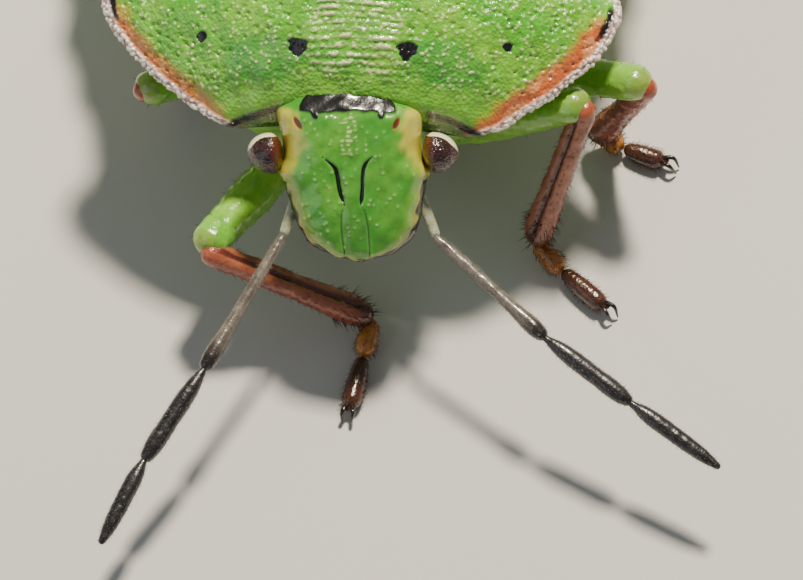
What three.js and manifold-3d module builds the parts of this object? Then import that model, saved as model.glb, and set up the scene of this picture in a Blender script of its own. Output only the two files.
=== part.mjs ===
// Southern green stink bug, last nymph stage, life size, standing on the floor.
// Millimetres and degrees. +Z is up, +X is the bug's left, and the head looks along -Y.
// While it is built, the origin lies under the middle of the pronotum's front margin.

import * as THREE from "three";
import Module from "manifold-3d";
import { ParametricGeometry } from "three/addons/geometries/ParametricGeometry.js";
import { mergeVertices } from "three/addons/utils/BufferGeometryUtils.js";

const wasm = await Module();
wasm.setup();

// Driving dimensions of the trunk
const TAIL_END = 8.3;
const ABDOMEN_WIDTH = 7.04;
const ABDOMEN_WIDEST_AT = 4.4;
const ABDOMEN_REACH = 3.9;
const ABDOMEN_START = 2.3;
const SEGMENT_LENGTH = 0.86;
const SEGMENT_NOTCH = 0.05;
const THORAX_FRONT = -0.12;
const THORAX_END = 3.5;
const WAIST_AT = 4.16;
const WAIST_SLANT = 0.45;
const THORAX_KEEL = 1.3;
const ABDOMEN_KEEL = 1.9;

// Driving dimensions of the pronotum
const CORNER_HALF_WIDTH = 1.44;
const CORNER_AT = -0.22;
const SHOULDER_HALF_WIDTH = 3.15;
const SHOULDER_AT = 1.36;
const PRONOTUM_REAR_AT = 1.78;
const PRONOTUM_LENGTH = 1.62;
const PRONOTUM_EDGE = 0.13;

// Driving dimensions of the scutellum and the wing pads
const SCUTELLUM_HALF_WIDTH = 1.25;
const SCUTELLUM_TIP = 3.65;
const PAD_TIP = 4.95;
const PAD_THICKNESS = 0.5;
const PAD_TIP_THICKNESS = 0.24;
const PLATE_DEPTH = 0.35;

// Driving dimensions of the head, measured from the middle of its hind edge towards the apex
const HEAD_LENGTH = 2.04;
const HEAD_START = -0.4;
const HEAD_PLACE = [0, 0.02, 2.98];
const HEAD_PITCH = 33;
const HEAD_YAW = 4.5;
const HEAD_RIM_DROP = 0.2;
const EYE_PLACE = [1.05, 0.69, -0.13];
const EYE_RADII = [0.27, 0.27, 0.31];
const TYLUS_HEIGHT = 0.05;
const TYLUS_HALF_WIDTH = 0.17;

// Driving dimensions of the limbs and feelers
const COXA_RADIUS = 0.34;
const FEMUR_RADIUS = 0.26;
const TIBIA_RADIUS = 0.24;
const TARSUS_RADIUS = 0.2;
const CLAW_RADIUS = 0.07;
const CLAW_LENGTH = 0.26;
const CLAW_SPREAD = 0.11;
const FEELER_RADIUS = 0.24;
const FEELER_TIP_RADIUS = 0.15;
const ROSTRUM_RADIUS = 0.2;

// Space kept between neighbours, and the plane of the floor that the soles stand on
const GAP = 0.1;
const FLOOR = [[0, 0, 1], 0];

// Places of the joints of each leg: socket, trochanter, knee, ankle and tip of the foot
const LEG_JOINTS = {
  fore_right: [[-0.62, 0.7, 1.2], [-0.7, 0.6, 0.9], [-1.816, -1.414, 1.5],
    [0.26, -1.581, 0.27], [0.036, -2.832, 0.14]],
  fore_left: [[0.65, 0.75, 1.2], [0.82, 0.75, 0.9], [2.826, 0.37, 2.4],
    [2.209, -0.404, 0.27], [3.145, -1.235, 0.14]],
  mid_right: [[-0.95, 2.05, 1.15], [-1.15, 1.95, 0.82], [-2.66, 0.4, 2.2],
    [-2.1, 1.75, 0.27], [-2.8, 2.7, 0.14]],
  mid_left: [[1.0, 1.95, 1.15], [1.2, 1.87, 0.85], [3.563, 0.715, 2.3],
    [2.9, 1.2, 0.27], [3.96, 0.84, 0.14]],
  hind_right: [[-0.95, 3.2, 1.1], [-1.12, 3.3, 0.78], [-3.5, 5.15, 1.45],
    [-4.3, 7.85, 0.27], [-4.68, 9.05, 0.14]],
  hind_left: [[0.95, 3.2, 1.1], [1.12, 3.3, 0.78], [3.6, 5.0, 1.45],
    [4.35, 7.75, 0.27], [4.68, 8.95, 0.14]],
};

// Places of the joints of each feeler, from its root under the head to its tip
const FEELER_JOINTS = {
  right: [[-0.6, -0.72, 2.15], [-0.811, -1.372, 1.85], [-1.684, -3.099, 1.5],
    [-2.345, -4.232, 1.2], [-2.804, -5.258, 0.95]],
  left: [[0.72, -0.62, 2.15], [1.067, -1.311, 1.85], [2.455, -2.489, 1.55],
    [3.529, -3.204, 1.3], [4.634, -3.909, 1.05]],
};

// Course of the sucking beak, from the front of the head back between the legs
const ROSTRUM_COURSE = [[0.08, -1.2, 1.85], [0.06, -0.75, 1.5], [0.02, 0.1, 0.98],
  [0, 1.2, 0.78], [0, 2.75, 0.74]];

// A smooth function through a few [place, value] pairs.
function profile(stations) {
  const places = stations.map(([place]) => place);
  const values = stations.map(([, value]) => value);
  const curve = new THREE.CubicInterpolant(places, values, 1, [0]);
  return (place) => {
    const inside = THREE.MathUtils.clamp(place, places[0], places[places.length - 1]);
    return curve.evaluate(inside)[0];
  };
}

// Drops doubled vertices and flat triangles, and turns the faces outwards.
function tidied(geometry) {
  geometry.deleteAttribute("normal");
  geometry.deleteAttribute("uv");
  const merged = mergeVertices(geometry, 1e-5);
  const corner = [0, 1, 2].map(() => new THREE.Vector3());
  const place = merged.attributes.position;
  const index = [];
  let volume = 0;
  for (let i = 0; i < merged.index.count; i += 3) {
    const face = [0, 1, 2].map((k) => merged.index.getX(i + k));
    if (new Set(face).size < 3) continue;
    index.push(face);
    face.forEach((vertex, k) => corner[k].fromBufferAttribute(place, vertex));
    volume += corner[0].dot(corner[1].cross(corner[2]));
  }
  merged.setIndex(index.flatMap((face) => (volume > 0 ? face : face.reverse())));
  return merged;
}

// Skins a row of rings and closes both ends. ringPoint gives a Vector3 from the part of the
// way along, 0 to 1, and the angle round the ring in radians.
function skin(sides, rings, ringPoint) {
  const turn = (2 * Math.PI) / sides;
  const middleOf = (part) => {
    const sum = new THREE.Vector3();
    for (let side = 0; side < sides; side += 1) sum.add(ringPoint(part, side * turn));
    return sum.divideScalar(sides);
  };
  const ends = [middleOf(0), middleOf(1)];
  const geometry = new ParametricGeometry((across, along, target) => {
    const row = Math.round(along * (rings + 1));
    const side = Math.round(across * sides) % sides;
    if (row === 0) target.copy(ends[0]);
    else if (row === rings + 1) target.copy(ends[1]);
    else target.copy(ringPoint((row - 1) / (rings - 1), side * turn));
  }, sides, rings + 1);
  return tidied(geometry);
}

// A round rod along a smooth curve through points. width gives its radius from the part of
// the way along, and both ends are rounded.
function rod(points, width, sides, rings) {
  const curve = new THREE.CatmullRomCurve3(points.map((point) => new THREE.Vector3(...point)));
  const length = curve.getLength();
  const ends = [width(0) / length, width(1) / length];
  const across = curve.getTangentAt(0.5).cross(new THREE.Vector3(0, 0, 1)).normalize();
  return skin(sides, rings, (step, angle) => {
    const part = (1 - Math.cos(Math.PI * step)) / 2;
    const past = Math.max(0, 1 - part / ends[0], 1 - (1 - part) / ends[1]);
    const radius = width(part) * Math.sqrt(Math.max(0, 1 - past * past));
    const side = across.clone().projectOnPlane(curve.getTangentAt(part)).normalize();
    const lift = side.clone().cross(curve.getTangentAt(part));
    return curve.getPointAt(part)
      .addScaledVector(side, radius * Math.cos(angle))
      .addScaledVector(lift, radius * Math.sin(angle));
  });
}

// A closed surface as a solid, swollen outwards by a margin where one is given.
function solid(geometry, margin = 0) {
  const shape = geometry.clone();
  const place = shape.attributes.position;
  if (margin > 0) {
    shape.computeVertexNormals();
    const normal = shape.attributes.normal;
    for (let i = 0; i < place.count; i += 1) {
      place.setXYZ(i, place.getX(i) + margin * normal.getX(i),
        place.getY(i) + margin * normal.getY(i), place.getZ(i) + margin * normal.getZ(i));
    }
  }
  return new wasm.Manifold(new wasm.Mesh({
    numProp: 3,
    vertProperties: new Float32Array(place.array),
    triVerts: new Uint32Array(shape.index.array),
  }));
}

const model = new THREE.Group();
const shapes = {};

// Adds one named sub-part. It gives way to the neighbours named in besides, takes in the shapes
// in joined, keeps the side of the plane in trim that its normal points to, and then keeps only
// its largest piece.
function addPart(name, geometry, colour, roughness, { besides = [], joined = [], trim } = {}) {
  shapes[name] = geometry;
  let body = joined.reduce((whole, extra) => whole.add(solid(extra)), solid(geometry));
  for (const neighbour of besides) body = body.subtract(solid(shapes[neighbour], GAP));
  if (trim) body = body.trimByPlane(...trim);
  const largest = body.decompose().reduce((a, b) => (a.volume() > b.volume() ? a : b));
  const { vertProperties, triVerts, numProp } = largest.getMesh();
  const buffer = new THREE.InterleavedBuffer(vertProperties, numProp);
  const result = new THREE.BufferGeometry();
  result.setAttribute("position", new THREE.InterleavedBufferAttribute(buffer, 3, 0));
  result.setIndex(new THREE.BufferAttribute(triVerts, 1));
  result.computeVertexNormals();
  const material = new THREE.MeshStandardMaterial({ color: colour, roughness, metalness: 0 });
  const mesh = new THREE.Mesh(result, material);
  mesh.name = name;
  model.add(mesh);
}

// Trunk: half width, and heights of the side edge, the back and the belly, along Y
const frontHalfWidth = profile([[-0.25, 1.2], [0, 1.42], [0.45, 2.0], [0.9, 2.58],
  [1.36, 2.98], [1.9, 2.94], [2.6, 3.1]]);
const edgeHeight = profile([[-0.2, 2.25], [0.5, 2.4], [1.3, 2.55], [2.6, 2.5], [4.4, 2.36],
  [6.4, 2.22], [8.3, 2.0]]);
const backHeight = profile([[-0.2, 2.75], [0.45, 3.0], [1, 3.2], [2, 3.34], [3, 3.38],
  [4, 3.36], [5, 3.27], [6, 2.97], [7, 2.62], [8, 2.2], [8.3, 2.06]]);
const bellyHeight = profile([[-0.2, 1.4], [0.1, 1.16], [1, 1.0], [2, 0.96], [4.5, 0.96],
  [5.5, 1.08], [6.5, 1.32], [7.5, 1.63], [8.3, 1.92]]);

function trunkHalfWidth(y) {
  if (y < 2.6) return frontHalfWidth(y);
  const away = Math.abs(y - ABDOMEN_WIDEST_AT) / ABDOMEN_REACH;
  return (ABDOMEN_WIDTH / 2) * Math.max(0, 1 - away ** 2.2) ** 0.62;
}

// Height of the bare back above a place in plan
function backAt(x, y) {
  const aside = Math.min(1, Math.abs(x) / trunkHalfWidth(y));
  const edge = edgeHeight(y);
  return edge + (backHeight(y) - edge) * (1 - aside ** 2.5) ** 0.9;
}

function trunkPoint(y, angle, shrink = 1) {
  const cosine = Math.cos(angle);
  const edge = edgeHeight(y);
  const up = (backHeight(y) - edge) * (1 - Math.abs(cosine) ** 2.5) ** 0.9;
  const behind = THREE.MathUtils.smoothstep(y, 1.5, 4);
  const keel = THREE.MathUtils.lerp(THORAX_KEEL, ABDOMEN_KEEL, behind);
  const down = (edge - bellyHeight(y)) * (1 - Math.abs(cosine) ** keel);
  const rise = Math.sin(angle) >= 0 ? up : -down;
  return new THREE.Vector3(trunkHalfWidth(y) * cosine * shrink, y, edge + rise * shrink);
}

function thoraxShape() {
  return skin(24, 10, (part, angle) => {
    const y = THREE.MathUtils.lerp(THORAX_FRONT, THORAX_END, part);
    return trunkPoint(y, angle);
  });
}

// The abdomen narrows a little at each joint between its segments.
function abdomenShape() {
  return skin(24, 25, (part, angle) => {
    const y = THREE.MathUtils.lerp(ABDOMEN_START, TAIL_END, Math.sin((part * Math.PI) / 2) ** 0.9);
    const joint = Math.abs(Math.sin((Math.PI * (TAIL_END - y)) / SEGMENT_LENGTH));
    const notch = (SEGMENT_NOTCH * (1 - joint) ** 2) / (1 + trunkHalfWidth(y));
    return trunkPoint(y, angle, 1 - notch);
  });
}

// Pronotum: half width and heights of its edge and its crest, from the front corners back
const pronotumHalfWidth = profile([[CORNER_AT, CORNER_HALF_WIDTH], [0, 1.64], [0.45, 2.2],
  [0.8, 2.62], [1.12, 2.99], [SHOULDER_AT, SHOULDER_HALF_WIDTH], [1.6, 3.13],
  [PRONOTUM_REAR_AT, 2.95]]);
const pronotumEdge = profile([[CORNER_AT, 2.45], [0.5, 2.62], [SHOULDER_AT, 2.8],
  [PRONOTUM_REAR_AT, 2.76]]);
const pronotumCrest = profile([[CORNER_AT, 3.0], [0.3, 3.37], [0.95, 3.68], [1.5, 3.82],
  [PRONOTUM_REAR_AT, 3.84]]);

function pronotumShape() {
  const frontBow = -CORNER_AT;
  const rearBow = PRONOTUM_LENGTH - PRONOTUM_REAR_AT;
  return skin(28, 11, (part, angle) => {
    const cosine = Math.cos(angle);
    const corner = THREE.MathUtils.lerp(CORNER_AT, PRONOTUM_REAR_AT, part);
    const bow = THREE.MathUtils.lerp(frontBow, rearBow, part) * (1 - cosine ** 2);
    const edge = pronotumEdge(corner);
    const round = Math.sqrt(1 - cosine ** 8) * PRONOTUM_EDGE;
    const dome = (pronotumCrest(corner) - edge - PRONOTUM_EDGE)
      * (1 - Math.abs(cosine) ** 2.2) ** 1.1;
    const z = Math.sin(angle) >= 0 ? edge + round + dome : edge - round;
    return new THREE.Vector3(pronotumHalfWidth(corner) * cosine, corner + bow, z);
  });
}

// A plate on the back between two edges in plan, thick at the front and thin at its tip
function backPlate(from, to, innerEdge, outerEdge, sides, rings) {
  return skin(sides, rings, (part, angle) => {
    const y = THREE.MathUtils.lerp(from, to, Math.sin((part * Math.PI) / 2));
    const half = (outerEdge(y) - innerEdge(y)) / 2;
    const x = innerEdge(y) + half + half * Math.cos(angle);
    const thin = THREE.MathUtils.smoothstep(y, PRONOTUM_LENGTH, PAD_TIP);
    const middle = THREE.MathUtils.lerp(PAD_THICKNESS, PAD_TIP_THICKNESS, thin);
    const thickness = middle * (1 - 0.45 * (x / SHOULDER_HALF_WIDTH) ** 2);
    const round = Math.sqrt(Math.abs(Math.sin(angle)));
    const base = backAt(x, y);
    const z = Math.sin(angle) >= 0 ? base + thickness * (0.3 + 0.7 * round)
      : base + thickness * 0.3 - (PLATE_DEPTH + 0.3 * thickness) * round;
    return new THREE.Vector3(x, y, z);
  });
}

const plateStart = PRONOTUM_LENGTH - 0.1;
const scutellumEdge = profile([[plateStart, SCUTELLUM_HALF_WIDTH], [2.1, 1.12], [2.6, 0.9],
  [3.1, 0.56], [3.45, 0.26], [SCUTELLUM_TIP, 0]]);
const padInnerEdge = profile([[plateStart, SCUTELLUM_HALF_WIDTH], [2.1, 1.12], [2.6, 0.95],
  [3.2, 1.12], [3.9, 1.52], [4.5, 1.95], [PAD_TIP, 2.42]]);
const padOuterEdge = profile([[plateStart, 2.86], [2.4, 2.98], [3.4, 3.06], [4.2, 3.02],
  [4.7, 2.84], [PAD_TIP, 2.42]]);

// Head: half width, dome and depth, along the way from its hind edge to its apex
const headHalfWidth = profile([[HEAD_START, 0.55], [-0.15, 0.8], [0.1, 0.9], [0.35, 0.88],
  [0.6, 0.85], [0.8, 0.85], [0.98, 0.92], [1.12, 0.845], [1.4, 0.763], [1.68, 0.668],
  [1.86, 0.527], [1.957, 0.354], [HEAD_LENGTH, 0]]);
const headDome = profile([[HEAD_START, 0.12], [0, 0.2], [0.5, 0.22], [1.2, 0.18], [1.6, 0.13],
  [HEAD_LENGTH, 0]]);
const headDepth = profile([[HEAD_START, 0.85], [0.2, 0.98], [0.7, 0.9], [1.2, 0.55], [1.6, 0.33],
  [1.9, 0.14], [HEAD_LENGTH, 0]]);
const headPose = new THREE.Matrix4()
  .makeRotationZ(THREE.MathUtils.degToRad(HEAD_YAW))
  .multiply(new THREE.Matrix4().makeRotationX(THREE.MathUtils.degToRad(HEAD_PITCH)))
  .setPosition(...HEAD_PLACE);

function headShape() {
  return skin(24, 16, (part, angle) => {
    const ahead = THREE.MathUtils.lerp(HEAD_START, HEAD_LENGTH, Math.sin((part * Math.PI) / 2));
    const cosine = Math.cos(angle);
    const x = headHalfWidth(ahead) * cosine;
    const dome = headDome(ahead) + HEAD_RIM_DROP;
    const ridge = TYLUS_HEIGHT * Math.exp(-((x / TYLUS_HALF_WIDTH) ** 2))
      * THREE.MathUtils.smoothstep(ahead, 0.5, 1.2) * Math.min(1, (HEAD_LENGTH - ahead) / 0.2);
    const z = Math.sin(angle) >= 0
      ? dome * Math.sqrt(1 - cosine ** 4) + ridge - HEAD_RIM_DROP
      : -headDepth(ahead) * (1 - Math.abs(cosine) ** 2.4) - HEAD_RIM_DROP;
    return new THREE.Vector3(x, -ahead, z).applyMatrix4(headPose);
  });
}

function eyeShape(side) {
  const [x, ahead, z] = EYE_PLACE;
  const eye = new THREE.SphereGeometry(1, 16, 10);
  eye.scale(...EYE_RADII).translate(side * x, -ahead, z).applyMatrix4(headPose);
  return tidied(eye);
}

// Leg segments, from the joints of one leg
function coxaShape(joints) {
  return rod(joints.slice(0, 2), () => COXA_RADIUS, 10, 7);
}

function femurShape(joints) {
  const slim = (part) => FEMUR_RADIUS * (0.86 + 0.2 * Math.sin(Math.PI * part ** 0.8));
  return rod(joints.slice(1, 3), slim, 10, 9);
}

function tibiaShape(joints) {
  return rod(joints.slice(2, 4), () => TIBIA_RADIUS, 10, 8);
}

function tarsusShape(joints) {
  const [ankle, tip] = joints.slice(3).map((joint) => new THREE.Vector3(...joint));
  const waist = ankle.clone().lerp(tip, 0.42).setZ(0.15);
  const toe = ankle.clone().lerp(tip, 0.75).setZ(0.14);
  const width = (part) => TARSUS_RADIUS * (1 - 0.14 * Math.exp(-(((part - 0.42) / 0.07) ** 2)));
  return rod([ankle, waist, toe, tip].map((point) => point.toArray()), width, 8, 11);
}

function clawShapes(joints) {
  const tip = new THREE.Vector3(...joints[4]);
  const ahead = tip.clone().sub(new THREE.Vector3(...joints[3])).setZ(0).normalize();
  const aside = new THREE.Vector3(-ahead.y, ahead.x, 0);
  const taper = (part) => CLAW_RADIUS * (1 - 0.6 * part);
  return [-CLAW_SPREAD, CLAW_SPREAD].map((spread) => {
    const root = tip.clone().addScaledVector(ahead, -0.12).addScaledVector(aside, spread * 0.6);
    const bend = tip.clone().addScaledVector(ahead, CLAW_LENGTH * 0.55)
      .addScaledVector(aside, spread * 1.5);
    const end = tip.clone().addScaledVector(ahead, CLAW_LENGTH)
      .addScaledVector(aside, spread * 1.1).setZ(0.05);
    return rod([root, bend, end].map((point) => point.toArray()), taper, 5, 5);
  });
}

function feelerShape(from, to, last) {
  const width = (part) => (last ? THREE.MathUtils.lerp(FEELER_RADIUS, FEELER_TIP_RADIUS, part)
    : FEELER_RADIUS);
  return rod([from, to], width, 10, 7);
}

// Colours
const GREEN = 0x5f9a35;
const HEAD_GREEN = 0x568f35;
const EYE_BROWN = 0x3a1e17;
const BELLY_GREEN = 0x8fae62;
const FEMUR_GREEN = 0x5c9130;
const TIBIA_RED = 0x8f4a30;
const TARSUS_BROWN = 0x6b3a1c;
const FEELER_GREEN = 0x9aa77a;
const FEELER_GREY = 0x77706a;
const FEELER_BLACK = 0x2d2a2c;
const FEELER_COLOURS = [FEELER_GREEN, FEELER_GREY, FEELER_BLACK, FEELER_BLACK];

// Trunk and head
const waistLength = Math.hypot(1, WAIST_SLANT);
const waistNormal = [0, 1 / waistLength, WAIST_SLANT / waistLength];
const waist = WAIST_AT / waistLength;
const headAndEyes = ["head", "eye_right", "eye_left"];
addPart("head", headShape(), HEAD_GREEN, 0.4);
addPart("eye_right", eyeShape(-1), EYE_BROWN, 0.2, { besides: ["head"] });
addPart("eye_left", eyeShape(1), EYE_BROWN, 0.2, { besides: ["head"] });
addPart("thorax", thoraxShape(), BELLY_GREEN, 0.5,
  { besides: headAndEyes, trim: [waistNormal.map((part) => -part), GAP / 2 - waist] });
addPart("abdomen", abdomenShape(), GREEN, 0.45, { trim: [waistNormal, waist + GAP / 2] });
addPart("pronotum", pronotumShape(), GREEN, 0.4, { besides: [...headAndEyes, "thorax"] });
addPart("rostrum", rod(ROSTRUM_COURSE, () => ROSTRUM_RADIUS, 8, 12), BELLY_GREEN, 0.4,
  { besides: ["head", "thorax", "abdomen"] });

const scutellum = backPlate(plateStart, SCUTELLUM_TIP, (y) => -scutellumEdge(y),
  scutellumEdge, 18, 8);
addPart("scutellum", scutellum, GREEN, 0.4, { besides: ["pronotum", "thorax", "abdomen"] });
for (const [side, name] of [[-1, "right"], [1, "left"]]) {
  const pad = backPlate(plateStart, PAD_TIP, (y) => side * padInnerEdge(y),
    (y) => side * padOuterEdge(y), 16, 11);
  addPart(`wing_pad_${name}`, pad, GREEN, 0.4,
    { besides: ["pronotum", "scutellum", "thorax", "abdomen"] });
}

// Legs
for (const [leg, joints] of Object.entries(LEG_JOINTS)) {
  addPart(`${leg}_coxa`, coxaShape(joints), FEMUR_GREEN, 0.35, { besides: ["thorax", "abdomen"] });
  addPart(`${leg}_femur`, femurShape(joints), FEMUR_GREEN, 0.3, { besides: [`${leg}_coxa`] });
  addPart(`${leg}_tibia`, tibiaShape(joints), TIBIA_RED, 0.35, { besides: [`${leg}_femur`] });
  addPart(`${leg}_tarsus`, tarsusShape(joints), TARSUS_BROWN, 0.35,
    { besides: [`${leg}_tibia`], joined: clawShapes(joints), trim: FLOOR });
}

// Feelers, four segments each
for (const [side, joints] of Object.entries(FEELER_JOINTS)) {
  for (let segment = 1; segment <= 4; segment += 1) {
    const name = `antenna_${side}_${segment}`;
    const before = segment === 1 ? "head" : `antenna_${side}_${segment - 1}`;
    const shape = feelerShape(joints[segment - 1], joints[segment], segment === 4);
    addPart(name, shape, FEELER_COLOURS[segment - 1], 0.6, { besides: [before] });
  }
}

// The origin moves to the floor under the middle of the whole model.
const middle = new THREE.Box3().setFromObject(model, true).getCenter(new THREE.Vector3());
model.position.set(-middle.x, -middle.y, 0);
model.updateMatrixWorld(true);

export default model;
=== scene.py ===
"""Dresses the still model of a green stink bug nymph: skins, eyes, limbs, bristles and light.

A piece is worked out in millimetres in the bug's own frame: +Z is up, +X is the bug's left, the
head looks along -Y, and the origin lies on the floor under the middle of the pronotum's front
margin. Place turns that into metres in the row's frame.
"""

import logging
import math
from collections.abc import Callable, Sequence
from dataclasses import dataclass, field
from enum import Enum

import bpy
import numpy as np
from mathutils import Matrix, Vector

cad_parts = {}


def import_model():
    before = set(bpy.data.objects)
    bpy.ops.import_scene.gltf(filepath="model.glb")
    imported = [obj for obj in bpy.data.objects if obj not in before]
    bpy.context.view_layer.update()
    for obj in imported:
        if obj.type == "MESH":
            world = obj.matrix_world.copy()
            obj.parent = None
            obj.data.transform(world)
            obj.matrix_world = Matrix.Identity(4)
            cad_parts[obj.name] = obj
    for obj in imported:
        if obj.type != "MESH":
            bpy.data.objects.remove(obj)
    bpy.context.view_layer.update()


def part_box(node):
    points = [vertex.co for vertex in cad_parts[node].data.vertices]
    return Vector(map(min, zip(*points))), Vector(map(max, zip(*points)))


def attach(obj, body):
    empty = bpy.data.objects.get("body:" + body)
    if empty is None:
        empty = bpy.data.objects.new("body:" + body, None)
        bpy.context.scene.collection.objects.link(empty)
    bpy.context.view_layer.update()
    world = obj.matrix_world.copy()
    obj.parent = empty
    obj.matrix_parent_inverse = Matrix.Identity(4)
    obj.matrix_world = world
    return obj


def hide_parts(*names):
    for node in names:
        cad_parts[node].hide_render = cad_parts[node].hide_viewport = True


Array = np.ndarray
Stations = Sequence[tuple[float, float]]
Point = tuple[float, float, float]

LOG = logging.getLogger("stink_bug")
MM = 0.001
TURN = 2 * math.pi
# Each next root on a rod is turned by this angle, which spreads roots evenly.
GOLDEN_ANGLE = 2.39996
# The last ring stops this far short of a tip, in millimetres, and a fan closes it.
TIP_GAP = 0.004
# Half the width of a hair's patch on the chart of its rod.
HALF_PATCH = 0.0015


class Side(Enum):
    """The bug's own sides, with the sign of X on each."""

    RIGHT = -1
    LEFT = 1

    @property
    def word(self) -> str:
        """The side's name in the frame's node names."""
        return self.name.lower()


# Small tools for shapes


def smooth(stations: Stations, at: Array) -> Array:
    """Runs a smooth curve through a few stations.

    Formula: cubic Hermite pieces whose slopes are the mean slopes of the neighbouring stations.

    Args:
        stations: pairs of place and value, in rising order of place.
        at: places to read, clipped to the stations' range.

    Returns:
        The value at each place.
    """
    places, values = np.array(stations, dtype=float).T
    slopes = np.gradient(values, places)
    at = np.clip(at, places[0], places[-1])
    left = np.clip(np.searchsorted(places, at, side="right") - 1, 0, len(places) - 2)
    span = places[left + 1] - places[left]
    t = (at - places[left]) / span
    return ((2 * t**3 - 3 * t**2 + 1) * values[left] + (t**3 - 2 * t**2 + t) * span * slopes[left]
            + (3 * t**2 - 2 * t**3) * values[left + 1] + (t**3 - t**2) * span * slopes[left + 1])


def ease(low: float, high: float, at: Array) -> Array:
    """Smoothstep: 0 at low, 1 at high, and 3t^2 - 2t^3 between; falls where high is below low."""
    t = np.clip((at - low) / (high - low), 0, 1)
    return t * t * (3 - 2 * t)


def unit(vectors: Array) -> Array:
    """Each vector divided by its own length."""
    return vectors / np.maximum(np.linalg.norm(vectors, axis=-1, keepdims=True), 1e-12)


def scatter_field(points: Array, spacing: float, seed: int) -> tuple[Array, Array]:
    """Distance to the nearest of many scattered centres, one in each cell of a cubic lattice.

    Formula: the smallest distance to the jittered centres of a point's own cell and its 26
    neighbours, where the jitter comes from a seeded table read by the cell's whole numbers.

    Args:
        points: array of points whose last axis is x, y, z in millimetres.
        spacing: side of a cell in millimetres.
        seed: seed of the table.

    Returns:
        The distance in millimetres, and a number from 0 to 1 that belongs to that centre.
    """
    table = np.random.default_rng(seed).random((8192, 4))
    scaled = points / spacing
    cell = np.floor(scaled).astype(np.int64)
    nearest = np.full(points.shape[:-1], np.inf)
    owner = np.zeros(points.shape[:-1])
    for step in np.ndindex(3, 3, 3):
        home = cell + np.array(step) - 1
        key = (home[..., 0] * 73856093) ^ (home[..., 1] * 19349663) ^ (home[..., 2] * 83492791)
        row = table[key % len(table)]
        away = np.linalg.norm(home + row[..., :3] - scaled, axis=-1)
        closer = away < nearest
        nearest = np.where(closer, away, nearest)
        owner = np.where(closer, row[..., 3], owner)
    return nearest * spacing, owner


def ripple(points: Array, size: float, seed: int, waves: int = 14) -> Array:
    """A soft random field between about -1 and 1.

    Formula: the mean of sine waves in random directions, with wavelengths round a given size.

    Args:
        points: array of points whose last axis is x, y, z in millimetres.
        size: middle wavelength in millimetres.
        seed: seed of the directions and phases.
        waves: number of waves.

    Returns:
        The field at each point.
    """
    random = np.random.default_rng(seed)
    total = np.zeros(points.shape[:-1])
    for _ in range(waves):
        way = unit(random.normal(size=3)) * TURN / (size * random.uniform(0.6, 1.7))
        total += np.sin(points @ way + random.uniform(0, TURN))
    return total / math.sqrt(waves / 2) / 1.4


def near_path(x: Array, y: Array, path: Sequence[tuple[float, float]]) -> Array:
    """Distance in plan from each place to a chain of straight lines.

    Args:
        x: first coordinate of each place.
        y: second coordinate of each place.
        path: corners of the chain.

    Returns:
        The distance to the nearest line of the chain.
    """
    nearest = np.full(np.broadcast(x, y).shape, np.inf)
    for (x0, y0), (x1, y1) in zip(path[:-1], path[1:]):
        length = max((x1 - x0) ** 2 + (y1 - y0) ** 2, 1e-12)
        part = np.clip(((x - x0) * (x1 - x0) + (y - y0) * (y1 - y0)) / length, 0, 1)
        nearest = np.minimum(nearest, np.hypot(x - x0 - part * (x1 - x0), y - y0 - part * (y1 - y0)))
    return nearest


def ring_normals(rings: Array) -> Array:
    """Outward directions on a skin of rings.

    Formula: the cross product of the step round the ring and the step along the rings, turned
    so that most of them point away from their ring's middle.

    Args:
        rings: points of shape (rings, sides, 3).

    Returns:
        Unit vectors of the same shape.
    """
    around = np.roll(rings, -1, axis=1) - np.roll(rings, 1, axis=1)
    normals = unit(np.cross(around, np.gradient(rings, axis=0)))
    outwards = np.sum(normals * (rings - rings.mean(axis=1, keepdims=True)))
    return normals if outwards > 0 else -normals


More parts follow.
